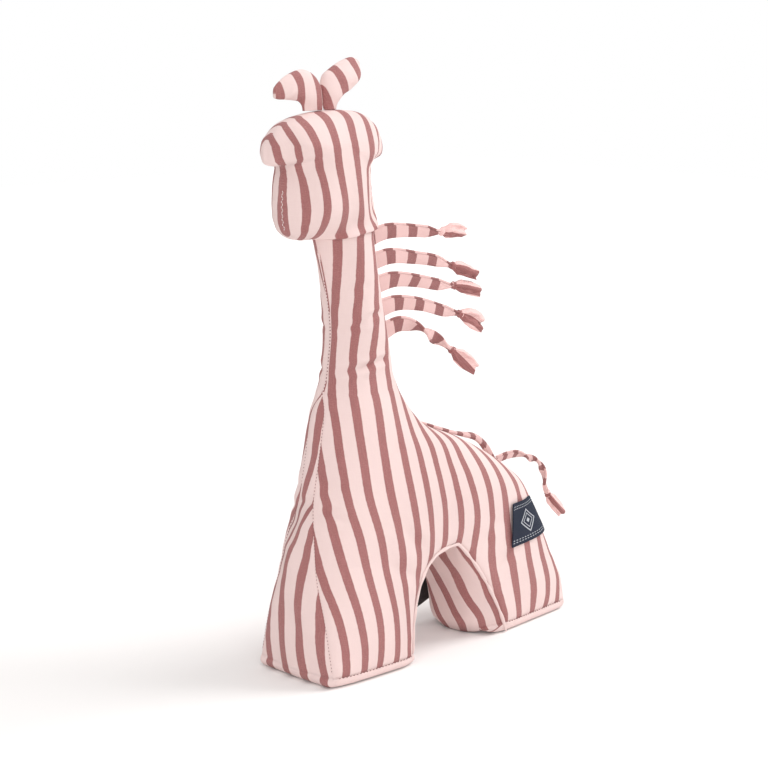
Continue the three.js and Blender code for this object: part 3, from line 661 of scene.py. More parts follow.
def panel_patches(side):
    """A side panel as a front and a rear grid that share the line over the arch."""
    low = ARCH_HEIGHT - (ARCH_HEIGHT - BOTTOM_SEAM) * np.linspace(1, 0, 58)[:-1] ** 2
    z = np.concatenate([low, np.linspace(ARCH_HEIGHT, PANEL_TOP, 150)])[:, None]
    front, back = front_edge(z), back_edge(z)
    top_share = (ARCH_TOP - front_edge(ARCH_HEIGHT)) / (back_edge(ARCH_HEIGHT) - front_edge(ARCH_HEIGHT))
    over = front + mix(top_share, 0.5, ease((z - ARCH_HEIGHT) / 60)) * (back - front)
    under = z < ARCH_HEIGHT
    even = (1 - np.cos(np.pi * np.linspace(0, 1, 78))) / 2
    wrinkles = bpy.context.scene.toy.wrinkles
    patches = []
    for start, end in (
        (front, np.where(under, arch_edge(z, False), over)),
        (np.where(under, arch_edge(z, True), over), back),
    ):
        x = start + (end - start) * even
        level = z + 0 * x
        along, up, across = seam_pull(x, level)
        arch_far, arch_at = nearest(ARCH, x, level)
        rough = np.minimum(np.minimum(arch_far, x - front), np.minimum(back - x, level - BOTTOM_SEAM))
        waves = (
            ripple(level, x - front, 10.5, 0.42)
            + ripple(level + 31, back - x, 11.5, 0.4)
            + ripple(x + 12, level - BOTTOM_SEAM, 12, 0.36)
            + ripple(arch_at * 0.33 + 5, arch_far, 11, 0.42)
        )
        soft = rumple(x, level) * clamp(rough / 9)
        pull = fold_depth(x, level) * clamp(rough / 2.5)
        half = body_half(x, level) - across + wrinkles * (waves + soft - pull)
        seam = (x - front < 1e-6) & (front_half(level) < 0.5) | (back - x < 1e-6) & (rear_half(level) < 0.5)
        half = np.where(seam, 0, np.maximum(half, 0))
        tuck = 1 - 0.5 * clamp((level - HEAD_BASE - 3) / (PANEL_TOP - HEAD_BASE - 3))
        x, half = mix((front + back) / 2, x, tuck), half * tuck
        points = turned(x + along, side * half, level + up)
        shift = 5.5 if side > 0 else 0
        cloth = np.stack([strung(PANEL_STRIPES, girth(x, level), level) - shift, level], -1)
        patches.append((points, cloth) if side < 0 else (points[:, ::-1], cloth[:, ::-1]))
    return patches


class TOY_OT_side_panels(Step):
    """Sews the two side panels of legs, body and neck"""

    bl_idname = "toy.side_panels"
    bl_label = "Side panels"

    def execute(self, context):
        toy = context.scene.toy
        material = striped("Striped cotton", toy.light, toy.dark, toy.stripe)
        hidden = {-1: ("torso", "front_leg", "rear_leg", "neck"), 1: ()}
        for side, name in ((-1, "side_panel_near"), (1, "side_panel_far")):
            obj = wall(skin(name, panel_patches(side)))
            finish_piece(obj, material, "body", hidden[side])
        return {"FINISHED"}


# The strip between the panels: where its stripes lie up the chest. Place of the second stripe, and
# the distance to its neighbours on the far and near side, by height
chest_stripe = falling(
    [
        [-16, 152], [-16, 147], [-13, 118], [-11, 107], [-8, 98], [-5.5, 94], [-1.3, 84], [1.5, 76],
        [4.8, 69], [7.7, 59], [9, 48], [8.8, 39], [7.8, 29], [7, 19], [5, 10], [1, 0],
    ]
)
chest_far = falling(
    [
        [12.5, 152], [12.5, 147], [10.6, 118], [10.6, 107], [9, 98], [5.5, 91], [3.8, 85], [4.8, 75],
        [5, 63], [8, 50], [13, 33], [15, 15], [15, 0],
    ]
)
chest_near = falling(
    [
        [8, 152], [8, 95], [7.8, 84], [10, 76], [12.6, 69], [14, 59], [14, 0],
    ]
)
# Stripes of the lining of the arch by number, as [way round from its near edge, height]
LINING_STRIPES = {
    -2: [
        (0.5, 61), (0.5, 37), (3, 25), (3, 13), (3.5, 0),
    ],
    -1: [
        (24, 61), (22, 49), (17.5, 41), (15.5, 30), (12.5, 20), (13, 7), (13.5, 0),
    ],
    0: [
        (42, 61), (39, 49), (36.5, 39), (34, 31), (29, 24), (24.5, 17), (25, 7), (25.5, 0),
    ],
    1: [
        (58, 61), (54, 49), (51, 38), (48, 27), (43, 20), (38.5, 13), (38.5, 0),
    ],
}

STRIP_SIDE = 24  # faces from the middle of the strip to its edge


def strip_stations():
    """Edge line, middle line, roundness and stripe places of the strip from the chest to the rump."""
    heel_low, toe_low = back_edge(BOTTOM_SEAM), front_edge(BOTTOM_SEAM)
    curl = 6.5  # height at which the strip starts to turn under a foot
    bend = 3.0  # how far along the floor that turn ends
    count = 12

    def down(count, edge, half, high, way):
        z = np.linspace(high, curl, count)
        swell = GUSSET_SWELL * clamp(half(z) / 20)
        return np.stack([edge(z), z], -1), np.stack([edge(z) + way * swell, z], -1)

    def corner(at, way, swell):
        """Turns from an upright stretch to the floor, going way."""
        path = np.array([[at, curl], [at, BOTTOM_SEAM], [at + way * bend, BOTTOM_SEAM]])
        angle = np.linspace(0, np.pi / 2, count)
        middle = np.stack(
            [at + way * bend - way * (bend + swell) * np.cos(angle), curl - curl * np.sin(angle)], -1
        )
        return walk(path, count), middle

    front_edge_line, front_middle = down(96, front_edge, front_half, FRONT_APEX - 0.2, -1)
    toe_edge, toe_middle = corner(toe_low, 1, GUSSET_SWELL)
    s = np.linspace(0, 1, 4000)
    arch = arch_line(s)
    upper = arch[:, 1] > curl
    run = s[upper]
    arch, run = arch[upper], run
    length = lengths(arch)
    even = np.interp(np.linspace(0, length[-1], 120), length, run)
    arch = arch_line(even)
    out = facing(arch)
    swell = np.where(even > 0.5, ARCH_SWELL, 5) * np.cos(np.pi * even) ** 2
    swell += 7 * np.exp(-(((arch[:, 1] - 16) / 9) ** 2)) * (even > 0.5)
    arch_middle = arch + out * swell[:, None]
    in_front, behind = arch[0], arch[-1]
    front_heel = [path[::-1] for path in corner(in_front[0], -1, arch_middle[0][0] - in_front[0])]
    rear_toe = corner(behind[0], 1, behind[0] - arch_middle[-1][0])
    rear_edge_line, rear_middle = (path[::-1] for path in down(56, back_edge, rear_half, REAR_APEX - 0.2, 1))
    heel_edge, heel_middle = (path[::-1] for path in corner(heel_low, -1, GUSSET_SWELL))

    def floor(start, end, count):
        x = np.linspace(start, end, count)[1:-1]
        return np.stack([x, 0 * x + BOTTOM_SEAM], -1), np.stack([x, 0 * x], -1)

    parts = [
        ((front_edge_line, front_middle), 0),
        ((toe_edge, toe_middle), 0.5),
        (floor(toe_edge[-1][0], front_heel[0][0][0], 40), 1),
        (tuple(front_heel), 1.5),
        ((arch, arch_middle), 2),
        (rear_toe, 2.5),
        (floor(rear_toe[0][-1][0], heel_edge[0][0], 36), 3),
        ((heel_edge, heel_middle), 3.5),
        ((rear_edge_line, rear_middle), 4),
    ]
    edge = np.concatenate([line for (line, _), _ in parts])
    middle = np.concatenate([line for (_, line), _ in parts])
    spread = [0.5 * (kind % 1 > 0) for _, kind in parts]
    stage = np.concatenate(
        [np.linspace(kind - by, kind + by, len(line)) for ((line, _), kind), by in zip(parts, spread)]
    )
    keep = np.concatenate([[True], np.linalg.norm(np.diff(middle, axis=0), axis=1) > 1e-4])
    return edge[keep], middle[keep], stage[keep]


class TOY_OT_under_strip(Step):
    """Sews the strip that runs up the chest, under both feet, through the arch and up the rump"""

    bl_idname = "toy.under_strip"
    bl_label = "Chest, soles, arch and rump strip"

    def execute(self, context):
        toy = context.scene.toy
        edge, middle, stage = strip_stations()
        x, z = edge.T
        along, up, across = seam_pull(x, z)
        half = np.maximum(body_half(x, z) * np.where((x < 0) & (z > FRONT_APEX - 1), 0, 1) - across, 0)
        full = np.maximum(body_half(x, z), 0.1)
        s = -np.cos(np.pi * np.arange(2 * STRIP_SIDE + 1) / (2 * STRIP_SIDE))[None]
        on_floor = np.where((stage > 0) & (stage < 2), 1 - np.abs(stage - 1), 0)
        on_floor = np.maximum(on_floor, np.where((stage > 2) & (stage < 4), 1 - np.abs(stage - 3), 0))
        plump = np.where(np.abs(stage - 2) < 0.6, 3.4, 2.0)
        roundness = mix(plump, 14.0, ease(on_floor * 1.6))[:, None]
        power = mix(1.0, 0.5, ease(on_floor * 1.6))[:, None]
        share = (1 - np.abs(s) ** roundness) ** power
        from_edge = (1 - np.abs(s)) * full[:, None]
        fade = np.exp(-from_edge / SEAM_REACH)
        run = lengths(middle)
        out = middle - edge
        out /= np.linalg.norm(out, axis=1, keepdims=True) + 1e-6
        free = np.where(on_floor > 0.6, 0.15, 1)[:, None]
        waves = ripple(run[:, None] + 17 * np.sign(s), from_edge, 10, 0.4) * free * clamp(full / 8)[:, None]
        soft = rumple(run[:, None], 1.7 * s * full[:, None]) * clamp(from_edge / 8) * free
        lift = (waves + soft) * toy.wrinkles
        tuck = np.where(stage < 0.2, 1.6 * np.exp(-(((z - 95) / 2.6) ** 2)), 0)[:, None]
        tuck = tuck * clamp(from_edge / 2)
        px = mix(x[:, None], middle[:, :1], share) + along[:, None] * fade + out[:, :1] * (lift - tuck)
        pz = mix(z[:, None], middle[:, 1:], share) + up[:, None] * fade + out[:, 1:] * (lift - tuck)
        inside = mix(full[:, None], half[:, None], fade)
        py = s * inside
        pz = np.maximum(pz, 0)
        steps = np.linalg.norm(np.diff(np.stack([px, py, pz], -1), axis=1), axis=-1)
        over = np.cumsum(np.pad(steps, ((0, 0), (1, 0))), axis=1)
        cloth = np.stack([self.stripes(stage, z, s * full[:, None], over), run[:, None] + 0 * py], -1)
        points = turned(px, py, pz)
        obj = wall(skin("chest_and_sole_strip", [(points, cloth)]))
        nodes = ("front_gusset", "rear_gusset", "arch_lining", "front_sole", "rear_sole")
        finish_piece(
            obj, striped("Strip cotton", toy.light, toy.dark, toy.stripe), "body", nodes
        )
        self.rims(toy)
        return {"FINISHED"}

    @staticmethod
    def stripes(stage, z, y, across):
        """Pattern place across the strip: its own stripe lines on the chest and on the lining."""
        height, stage = z[:, None], stage[:, None]
        at = chest_stripe(height)
        chest = PERIOD * (y - at) / np.where(y > at, chest_far(height), chest_near(height))
        lining = strung(LINING_STRIPES, across, height)
        place = mix(chest, y - 2.4, ease((stage - 0.7) / 0.25))
        place = mix(place, lining, ease((stage - 1.6) / 0.3))
        return mix(place, y - 8, ease((stage - 2.35) / 0.3))

    def rims(self, toy):
        """The turned edge of the cloth along the arch, a soft roll beside each seam."""
        material = striped("Turned edge", toy.light, toy.light, 0.0)
        line = arch_line(np.linspace(0.012, 0.988, 4000))
        line = walk(line, 190)
        out = facing(line)
        run = lengths(line)
        for side, name in ((-1, "arch_rim_near"), (1, "arch_rim_far")):
            half = body_half(line[:, 0], line[:, 1]) - SEAM_DIP
            turn = np.linspace(0, 2 * np.pi, 15)[None]
            swell = (1 + 0.16 * np.sin(run / 3.1) + 0.12 * np.sin(run / 1.7 + 1))[:, None]
            swell = swell * clamp(np.minimum(run, run[-1] - run) / 4)[:, None] ** 0.5
            wide, high = 0.95 * swell, 0.8 * swell
            away = wide * np.cos(turn) + 0.35
            px = line[:, :1] + out[:, :1] * away
            pz = line[:, 1:] + out[:, 1:] * away
            py = side * (half[:, None] + high * np.sin(turn) + 0.1)
            cloth = np.stack([0 * px + 6, run[:, None] + 0 * px], -1)
            obj = turn_out(skin(name, [(turned(px, py, np.maximum(pz, 0)), cloth)]))
            finish_piece(obj, material, "body")


# Head: outline on the middle plane from the nose's foot round over the front lobe, the top, and the
# rear lobe down to the nape
HEAD_LINE = [
    [-80, 234.3], [-86.6, 236], [-90.3, 242], [-91.3, 252], [-90.8, 262], [-90.3, 270], [-91.5, 273.2],
    [-96.5, 273.2], [-101, 274.6], [-102, 280], [-101, 286], [-97, 290.5], [-90, 294.8], [-80, 298],
    [-67, 299.8], [-52, 300], [-41, 298.6], [-34.5, 295.6], [-29, 291], [-26, 285.5], [-24.5, 280],
    [-24.7, 275.4], [-28, 273.4], [-31.6, 272.2], [-31, 264], [-28, 253], [-28.6, 246], [-30.6, 241.4],
    [-36, 238.8], [-48, 236.8], [-64, 234.6],
]
HEAD_MIDDLE = (-62.5, 284)
CHIN_HALF = 17.5  # the half width of the head's underside stays below this
# Stripes of the head by number, as [way round from the middle, height]
HEAD_STRIPES = {
    -3: [
        (-45, 301), (-44.8, 290), (-42.9, 283.5), (-40.1, 276), (-39.3, 268), (-40.3, 259),
        (-39.6, 251), (-38.5, 245), (-34.6, 239.5), (-28, 232),
    ],
    -2: [
        (-33.5, 301), (-33.2, 288), (-31.2, 282), (-29, 271), (-27.2, 262), (-26.1, 252), (-25.1, 242),
        (-19, 232),
    ],
    -1: [
        (-23.4, 301), (-21.2, 287), (-19, 276), (-17, 264), (-16, 254), (-15.7, 242), (-14, 232),
    ],
    0: [
        (-6.3, 301), (-8.9, 291), (-9.1, 281), (-7.3, 268), (-4, 254), (-0.9, 242), (2.5, 232),
    ],
    1: [
        (8.5, 301), (3.3, 289), (2.8, 281), (5.1, 266), (9, 252), (12.3, 242), (15, 232),
    ],
    2: [
        (21, 301), (15.5, 289), (14.5, 281), (17, 266), (21, 252), (24, 242), (27, 232),
    ],
}


HEAD_OUTLINE = walk(spline(HEAD_LINE + HEAD_LINE[:1]), 2400)


def head_half(x, z, far):
    """Half thickness of the head: a pillow by its distance from the seam, thinner in the lobes."""
    lobe = ease(np.where(x < HEAD_X, (HEAD_X - 24 - x) / 9, (x - HEAD_X - 17) / 16))
    full = mix(22, 10.6, lobe)
    reach = mix(26, 11.5, lobe)
    half = full * np.sqrt(1 - (1 - clamp(far / reach)) ** 2.3)
    slim = 22 * (1 - (1 - clamp((HEAD_X + 33 - x) / 30)) ** 1.6)
    return mix(half, np.minimum(half, slim), 1 - ease((z - 269) / 8))


def head_girth(x, z):
    """How far round the head each place lies from its middle line, less than 0 towards the nose."""
    across, up = np.linspace(-104, -20, 211), np.linspace(232, 302, 141)
    grid = np.stack(np.meshgrid(across, up), -1)
    around = HEAD_OUTLINE - HEAD_MIDDLE
    order = np.argsort(np.arctan2(around[:, 1], around[:, 0]))
    angle, radius = np.arctan2(around[order, 1], around[order, 0]), np.linalg.norm(around[order], axis=1)
    spot = grid - HEAD_MIDDLE
    edge = np.interp(np.arctan2(spot[..., 1], spot[..., 0]), angle, radius)
    inside = np.linalg.norm(spot, axis=-1) < edge
    far = nearest(HEAD_OUTLINE, grid[..., 0], grid[..., 1])[0]
    half = head_half(grid[..., 0], grid[..., 1], far * inside)
    run = np.cumsum(np.hypot(across[1] - across[0], np.diff(half, axis=1, prepend=half[:, :1])), axis=1)
    run -= run[:, [np.abs(across - HEAD_MIDDLE[0]).argmin()]]
    column, row = (x - across[0]) / (across[1] - across[0]), (z - up[0]) / (up[1] - up[0])
    i, j = np.clip(row.astype(int), 0, 139), np.clip(column.astype(int), 0, 209)
    v, u = clamp(row - i), clamp(column - j)
    return mix(mix(run[i, j], run[i, j + 1], u), mix(run[i + 1, j], run[i + 1, j + 1], u), v)


def smooth(field, fixed, turns):
    """Averages a ring-shaped grid with its neighbours, leaving its outer ring as it is."""
    for _ in range(turns):
        around = (np.roll(field, 1, 1) + np.roll(field, -1, 1)) / 2
        inner = field.copy()
        inner[1:-1] = (field[2:] + field[:-2]) / 4 + around[1:-1] / 2
        field = np.where(fixed, field, mix(field, inner, 0.8))
    return field


def head_side():
    """One side of the head as rings from its middle out to the seam: places, half thickness, the
    seam's half width, and for each place the distance to the seam and the seam's nearest point."""
    line = walk(HEAD_OUTLINE, 321)[:-1]
    ring = np.sin(np.linspace(0, np.pi / 2, 46))[:, None]
    x = HEAD_MIDDLE[0] + (line[:, 0] - HEAD_MIDDLE[0]) * ring
    z = HEAD_MIDDLE[1] + (line[:, 1] - HEAD_MIDDLE[1]) * ring
    far, which = nearest(HEAD_OUTLINE, x, z)
    far[-1] = 0
    chin = np.exp(-(((x + 48) / 19) ** 4)) * (1 - ease((z - HEAD_BASE) / 22))
    least = (CHIN_HALF * chin) ** 2
    half = np.sqrt(least + np.maximum(head_half(x, z, far) ** 2 - least, 0))
    fixed = np.zeros(x.shape, bool)
    fixed[-3:] = True
    half = smooth(half, fixed, 30)
    half[0] = half[1].mean()
    return x, z, half, chin, far, which


class TOY_OT_head(Step):
    """Sews the stuffed head with its two lobes"""

    bl_idname = "toy.head"
    bl_label = "Head"

    def execute(self, context):
        toy = context.scene.toy
        x, z, half, chin, far, which = head_side()
        edge = CHIN_HALF * chin
        line = np.stack([x[-1], z[-1]], -1)
        free = clamp(far / 8)
        waves = ripple(which * 0.115, far, 9, 0.4)
        dent = 1.1 * np.exp(-(((z - 272) / 4) ** 2) - ((x + 84) / 7) ** 2)
        dent += 0.8 * np.exp(-(((z - 271) / 4) ** 2) - ((x + 41) / 7) ** 2)
        half = np.maximum(half + toy.wrinkles * (waves * (1 - chin) + rumple(x + 40, z) * free - dent), 0)
        half[-1] = edge[-1]
        run = strung(HEAD_STRIPES, head_girth(x, z), z)
        sides = []
        for side in (-1, 1):
            points = np.stack([x, side * half, z], -1)
            cloth = np.stack([run, z], -1)
            points, cloth = (np.concatenate([grid, grid[:, :1]], 1) for grid in (points, cloth))
            sides.append((points, cloth) if side > 0 else (points[:, ::-1], cloth[:, ::-1]))
        s = np.linspace(-1, 1, 9)[:, None]
        seam = np.vstack([line, line[:1]])
        edge = np.append(edge[-1], edge[-1][0])
        under = np.stack([seam[:, 0] + 0 * s, s * edge, seam[:, 1] - 0.12 * edge * (1 - s**2)], -1)
        run = np.append(run[-1], run[-1][0])
        cloth = np.stack([run + 0 * s, seam[:, 1] + 0 * s], -1)
        sides.append((under, cloth))
        obj = turn_out(skin("head_cover", sides))
        material = striped("Head cotton", toy.light, toy.dark, toy.stripe)
        finish_piece(obj, material, "body", ("head", "ear_lobe_front", "ear_lobe_rear"))
        return {"FINISHED"}


# Horns: outer and inner outline from root to tip, as [back from the head's middle, up from its top]
HORNS = {
    "front": (
        [[-1, 0], [-1, 5], [-2.5, 11], [-6, 17], [-14, 21], [-24, 18.5], [-31, 14.5], [-33, 12.5]],
        [[-14, 0], [-14.5, 3], [-16.5, 4.8], [-21, 5.6], [-24.5, 6], [-27, 6.2], [-30.5, 6.4], [-33, 7]],
    ),
    "rear": (
        [[0.5, 0], [-0.5, 5], [-1.5, 12], [-0.5, 17.5], [4, 20.5], [10.5, 24], [18.5, 26.5], [22, 26]],
        [[8.5, 0], [9, 3], [11, 5.5], [13.5, 7.5], [18.5, 10], [22.5, 13], [25.5, 17], [25, 23]],
    ),
}
HORN_THICK = 8.6
# For each horn: lean of its stripes, where one of them lies, and how close they are
HORN_STRIPES = {"front": (0.25, -3.2, 1.0), "rear": (0.6, 18.5, 0.84)}


class TOY_OT_horns(Step):
    """Sews the two stuffed horns"""

    bl_idname = "toy.horns"
    bl_label = "Horns"

    def execute(self, context):
        toy = context.scene.toy
        material = striped("Horn cotton", toy.light, toy.dark, toy.stripe)
        for name, (outer, inner) in HORNS.items():
            rows = 64
            one, two = walk(spline(outer), rows), walk(spline(inner), rows)
            t = np.linspace(0, 1, rows)[:, None]
            fullness = mix(0.42, 1, ease(t / 0.28)) * (1 - 0.75 * ease((t - 0.62) / 0.38) ** 1.5)
            turn = np.linspace(0, 2 * np.pi, 49)[None]
            middle, reach = (one + two) / 2, (one - two) / 2
            run = lengths(middle)[:, None]
            edge = np.abs(np.sin(turn)) ** 0.85 * np.sign(np.sin(turn))
            gather = toy.wrinkles * 0.1 * np.sin(run / 1.5 + 2 * np.cos(turn))
            pucker = 1 + gather * np.abs(np.cos(turn)) ** 2
            y = HORN_THICK / 2 * fullness * edge * pucker
            y = y + toy.wrinkles * 0.35 * np.sin(run / 3.1 + turn) * fullness * np.abs(np.sin(turn))
            x = middle[:, :1] + reach[:, :1] * np.cos(turn)
            z = middle[:, 1:] + reach[:, 1:] * np.cos(turn)
            points = np.stack([HEAD_X + x, y, HEAD_TOP + 0.3 + z], -1)
            caps = [(ring * 0 + ring.mean(0))[None] for ring in (points[0], points[-1])]
            points = np.concatenate([caps[0], points, caps[1]])
            lean, first, scale = HORN_STRIPES[name]
            place = scale * (points[..., 0] - HEAD_X - first + lean * (points[..., 2] - HEAD_TOP))
            cloth = np.stack([place, points[..., 2]], -1)
            obj = turn_out(skin(f"horn_{name}_cover", [(points, cloth)]))
            finish_piece(obj, material, f"horn_{name}", (f"horn_{name}",))
        return {"FINISHED"}


# Mane and tail: middle lines from the nape or ridge, as [back, up]
MANE_LINES = [
    [[0, 0], [18, 1.8], [36, 0.4], [52, -1.6], [64, -2], [74, -4]],
    [[0, 0], [18, 1], [33, -1.2], [49, -4.2], [61, -8], [81, -14]],
    [[0, 0], [18, 1], [35, -1.6], [52, -5.4], [70, -8], [82, -10.5]],
    [[0, 0], [18, 0.8], [35, -2], [51, -7], [72, -12.5], [82, -18]],
    [[0, 0], [16, 2], [32, -3.5], [45, -11], [58, -19], [73, -31]],
]
MANE_TOP = 232.5
MANE_PITCH = 12.9
TAIL_LINE = [
    [0, 0], [10, 0.8], [19, 0.2], [30, -3.8], [40.5, -8.6], [46.5, -16.8], [47.5, -24], [51.5, -31],
    [66, -43],
]
# Height of a tape by the way from its root
TAPE_WIDE = [[0, 10.6], [6, 9.6], [18, 8.5], [36, 7.2], [60, 6.4]]
TAIL_WIDE = [[0, 4.6], [60, 4.2]]
TAPE_THICK = 1.5
HEM = 1.3  # from a tape's upper edge down to its stitched line
TAPE_STRETCH = 1.27  # the tapes are cut aslant, so their stripes lie further apart
TAIL_STRETCH = 0.8
TAPE_SHIFT = 8.1  # moves the stripes along the mane tapes and the tail
ROOT_DROP = 1.2  # how far a mane tape's root lies below its traced line
TAPE_LIGHT, TAPE_DARK = 0.92, 0.8  # the tapes' colours as shares of the set ones
# For each mane tape from the top: share of its length where it is tied, how far out its stripes lie,
# and the turn and width of its loose end
KNOT_SHARE = (0.76, 0.77, 0.755, 0.77, 0.72)
FIRST_STRIPE = (12.9, 10.4, 10.8, 11.6, 8)
FAN_ROLL = (0.5, -0.3, -0.15, 0.1, 0.3)
FAN_WIDTH = (9.6, 8.6, 8.6, 10.8, 8.8)
# Middle line of the tape's start on the ridge, as [x, to the far side, z]
TAIL_RUN = [
    [8, 3, 124.5], [21, 3, 120], [33, 3, 116.4], [46, 3, 113], [57, 3, 109.5], [66, 3, 102.5],
    [71, 1, 93],
]


def frames(path, roll):
    """Unit vectors along a path, upright across it, and sideways, turned about the path by roll."""
    along = np.gradient(path, axis=0)
    along /= np.linalg.norm(along, axis=1, keepdims=True)
    side = np.cross(along, [0, 0, 1.0])
    side /= np.linalg.norm(side, axis=1, keepdims=True)
    up = np.cross(side, along)
    roll = roll + 0 * lengths(path)[:, None]
    c, s = np.cos(roll), np.sin(roll)
    return along, up * c + side * s, side * c - up * s


def closed(rings, cloth):
    """Closes a tube's two ends on their middles."""
    caps = [ring.mean(0) + 0 * ring for ring in (rings[0], rings[-1])]
    rings = np.concatenate([caps[:1], rings, caps[1:]])
    return rings, np.concatenate([cloth[:1], cloth, cloth[-1:]])


def ribbon(path, wide, thick, roll, slant=0.0):
    """A flat tape: a rounded bar carried along a path, with a hem below its upper edge."""
    _, up, side = frames(path, roll)
    turn = np.linspace(0, 2 * np.pi, 81)
    c, s = np.cos(turn), np.sin(turn)
    high, deep = np.sign(c) * np.abs(c) ** 0.8, np.sign(s) * np.abs(s) ** 0.6
    level = wide[:, None] / 2 * high
    below = wide[:, None] / 2 - HEM - level
    out = thick[:, None] / 2 * deep * (1 - 0.5 * np.exp(-((below / 0.28) ** 2)) + 0.25 * (below < 0))
    rings = path[:, None] + up[:, None] * level[..., None] + side[:, None] * out[..., None]
    run = lengths(path)[:, None] + 0 * turn + np.where(below < 0, 1.8, 0) - slant * level
    return closed(rings, np.stack([run, level], -1))


def fan(path, roll, width, phase):
    """The loose end behind the knot: gathered cloth that spreads in soft pleats to a hollow cut edge."""
    along, up, side = frames(path, roll)
    t = np.linspace(0, 1, len(path))[:, None]
    turn = np.linspace(0, 2 * np.pi, 61)[None]
    c, s = np.cos(turn), np.sin(turn)
    spread = np.interp(t, [0, 0.1, 0.3, 0.6, 0.85, 1], [0.34, 0.5, 0.95, 1.0, 0.88, 0.8]) * width / 2
    deep = np.interp(t, [0, 0.15, 0.4, 1], [1.5, 2.6, 2.2, 1.5])
    pleat = 1 + 0.36 * np.sin(4 * turn + phase + 1.5 * t) + 0.2 * np.sin(7 * turn + 2 * phase - 2 * t)
    level = spread * c * (1 + 0.08 * np.sin(5 * t + phase)) + 0.9 * np.sin(2.6 * t + phase) * t
    bend = 0.7 * np.sin(6 * level / width + phase)
    bend = bend + 0.6 * np.sin(7 * t + phase) * np.sin(1.5 * level - 5 * t)
    out = deep * s * pleat + bend * ease(t / 0.4)
    rings = path[:, None] + up[:, None] * level[..., None] + side[:, None] * out[..., None]
    edge = ease((t - 0.7) / 0.3) * (np.cos(3 * turn + phase) - 0.35 * level)
    rings += edge[..., None] * along[:, None]
    run = TAPE_STRETCH * (2.6 - 1.15 * level - 0.6 * t**2)
    middle = rings[-1].mean(0)
    step = path[-1] - path[-2]
    hollow = ((0.86, 0.1), (0.7, -3), (0.5, -6))
    inner = [middle + (rings[-1] - middle) * size + step * back for size, back in hollow]
    rings = np.concatenate([rings, inner])
    run = np.concatenate([run, run[-1:], run[-1:], run[-1:]])
    return closed(rings, np.stack([run, 0 * run], -1))


def knot(path, size, phase):
    """The tie: two tight turns of the tape round itself, one over the other."""
    _, up, side = frames(path, 0.0)
    t = np.linspace(-1, 1, len(path))[:, None]
    turn = np.linspace(0, 2 * np.pi, 41)[None]
    fat = size / 2 * np.sqrt(np.clip(1 - t**2, 0, 1)) ** 0.7
    fat = fat * (1 + 0.12 * np.sin(turn + 2 * t + phase))
    groove = 1 - 0.2 * np.exp(-(((t - 0.3 * np.sin(turn + phase)) / 0.2) ** 2))
    round_it = fat * groove
    rings = path[:, None] + up[:, None] * (round_it * np.cos(turn))[..., None]
    rings = rings + side[:, None] * (0.85 * round_it * np.sin(turn))[..., None]
    run = 4 * t + 2.2 * turn / np.pi
    return closed(rings, np.stack([run, 0 * run], -1))


def tape_patches(path, tie, loose, phase, first, slant, twist, wide, stretch, drop):
    """A mane tape or the tail: its run, drawn together at the knot, the knot, and the loose end.
    Tie is the share of its length where it is tied, and loose the turn and width of its loose end."""
    path = walk(path, 260)
    length = lengths(path)
    tied = tie * length[-1]
    run = length <= tied + 1
    d = length[run]
    pinch = ease((d - tied + 13) / 12.5)
    high = mix(np.interp(d, *np.transpose(wide)), 2.8, pinch)
    deep = mix(TAPE_THICK, 2.4, pinch)
    roll = twist * ease((d - 14) / (tied - 14)) + 0.1 * np.sin(d / 6 + phase) * clamp(d / 8)
    root = np.stack([0 * d, 0 * d, -drop * (1 - ease(d / 15))], -1)
    body = ribbon(path[run] + root, high, deep, roll[:, None], slant)
    lump = knot(path[(length > tied - 2) & (length < tied + 3)], 4.6, phase)
    tail = fan(walk(path[length > tied], 46), *loose, phase)
    return [
        (points, (cloth + (start, 0)) / (stretch, 1) + (TAPE_SHIFT, 0))
        for (points, cloth), start in ((body, -first), (lump, tied - first), (tail, 0))
    ]


class TOY_OT_mane(Step):
    """Knots the five mane tapes and the twisted tail"""

    bl_idname = "toy.mane"
    bl_label = "Mane and tail"

    def execute(self, context):
        toy = context.scene.toy
        light, dark = TAPE_LIGHT * np.array(toy.tape), TAPE_DARK * np.array(toy.dark)
        material = striped("Tape cotton", light, dark, toy.stripe + 0.4)
        for n, line in enumerate(MANE_LINES):
            z = MANE_TOP - n * MANE_PITCH
            nape = back_edge(z) - 0.5
            path = spline(np.array([[nape + back, 0, z + rise] for back, rise in line]))
            twist = 1.5 * np.pi if n == 4 else 0.0
            slant = 0.35 if n == 2 else 0.0
            loose = (FAN_ROLL[n], FAN_WIDTH[n])
            shape = (slant, twist, TAPE_WIDE, TAPE_STRETCH, ROOT_DROP)
            patches = tape_patches(path, KNOT_SHARE[n], loose, 1.3 * n, FIRST_STRIPE[n], *shape)
            obj = turn_out(skin(f"mane_tape_{n + 1}_cloth", patches))
            finish_piece(obj, material, f"mane_{n + 1}", (f"mane_tape_{n + 1}",))
        root = back_edge(REAR_APEX + 10 - 3.25) - 1.6
        line = np.array([[root + back, REAR_APEX + 10 + rise] for back, rise in TAIL_LINE])
        path = spline(turned(line[:, 0], 0 * line[:, 0], line[:, 1]))
        shape = (0.8, 3 * np.pi, TAIL_WIDE, TAIL_STRETCH, 0)
        patches = tape_patches(path, 0.76, (0.4, 8), 2.2, 4.0, *shape)
        obj = turn_out(skin("tail_cloth", patches))
        finish_piece(obj, material, "tail", ("tail",))
        path = walk(spline(turned(*np.transpose(TAIL_RUN))), 90)
        size = 4.4 + 0 * path[:, 0]
        points, cloth = ribbon(path, size, size / 2.2, 0.05 * lengths(path)[:, None], 0.6)
        obj = turn_out(skin("tail_run_cloth", [(points, cloth + (2.6, 0))]))
        finish_piece(obj, material, "body")
        return {"FINISHED"}


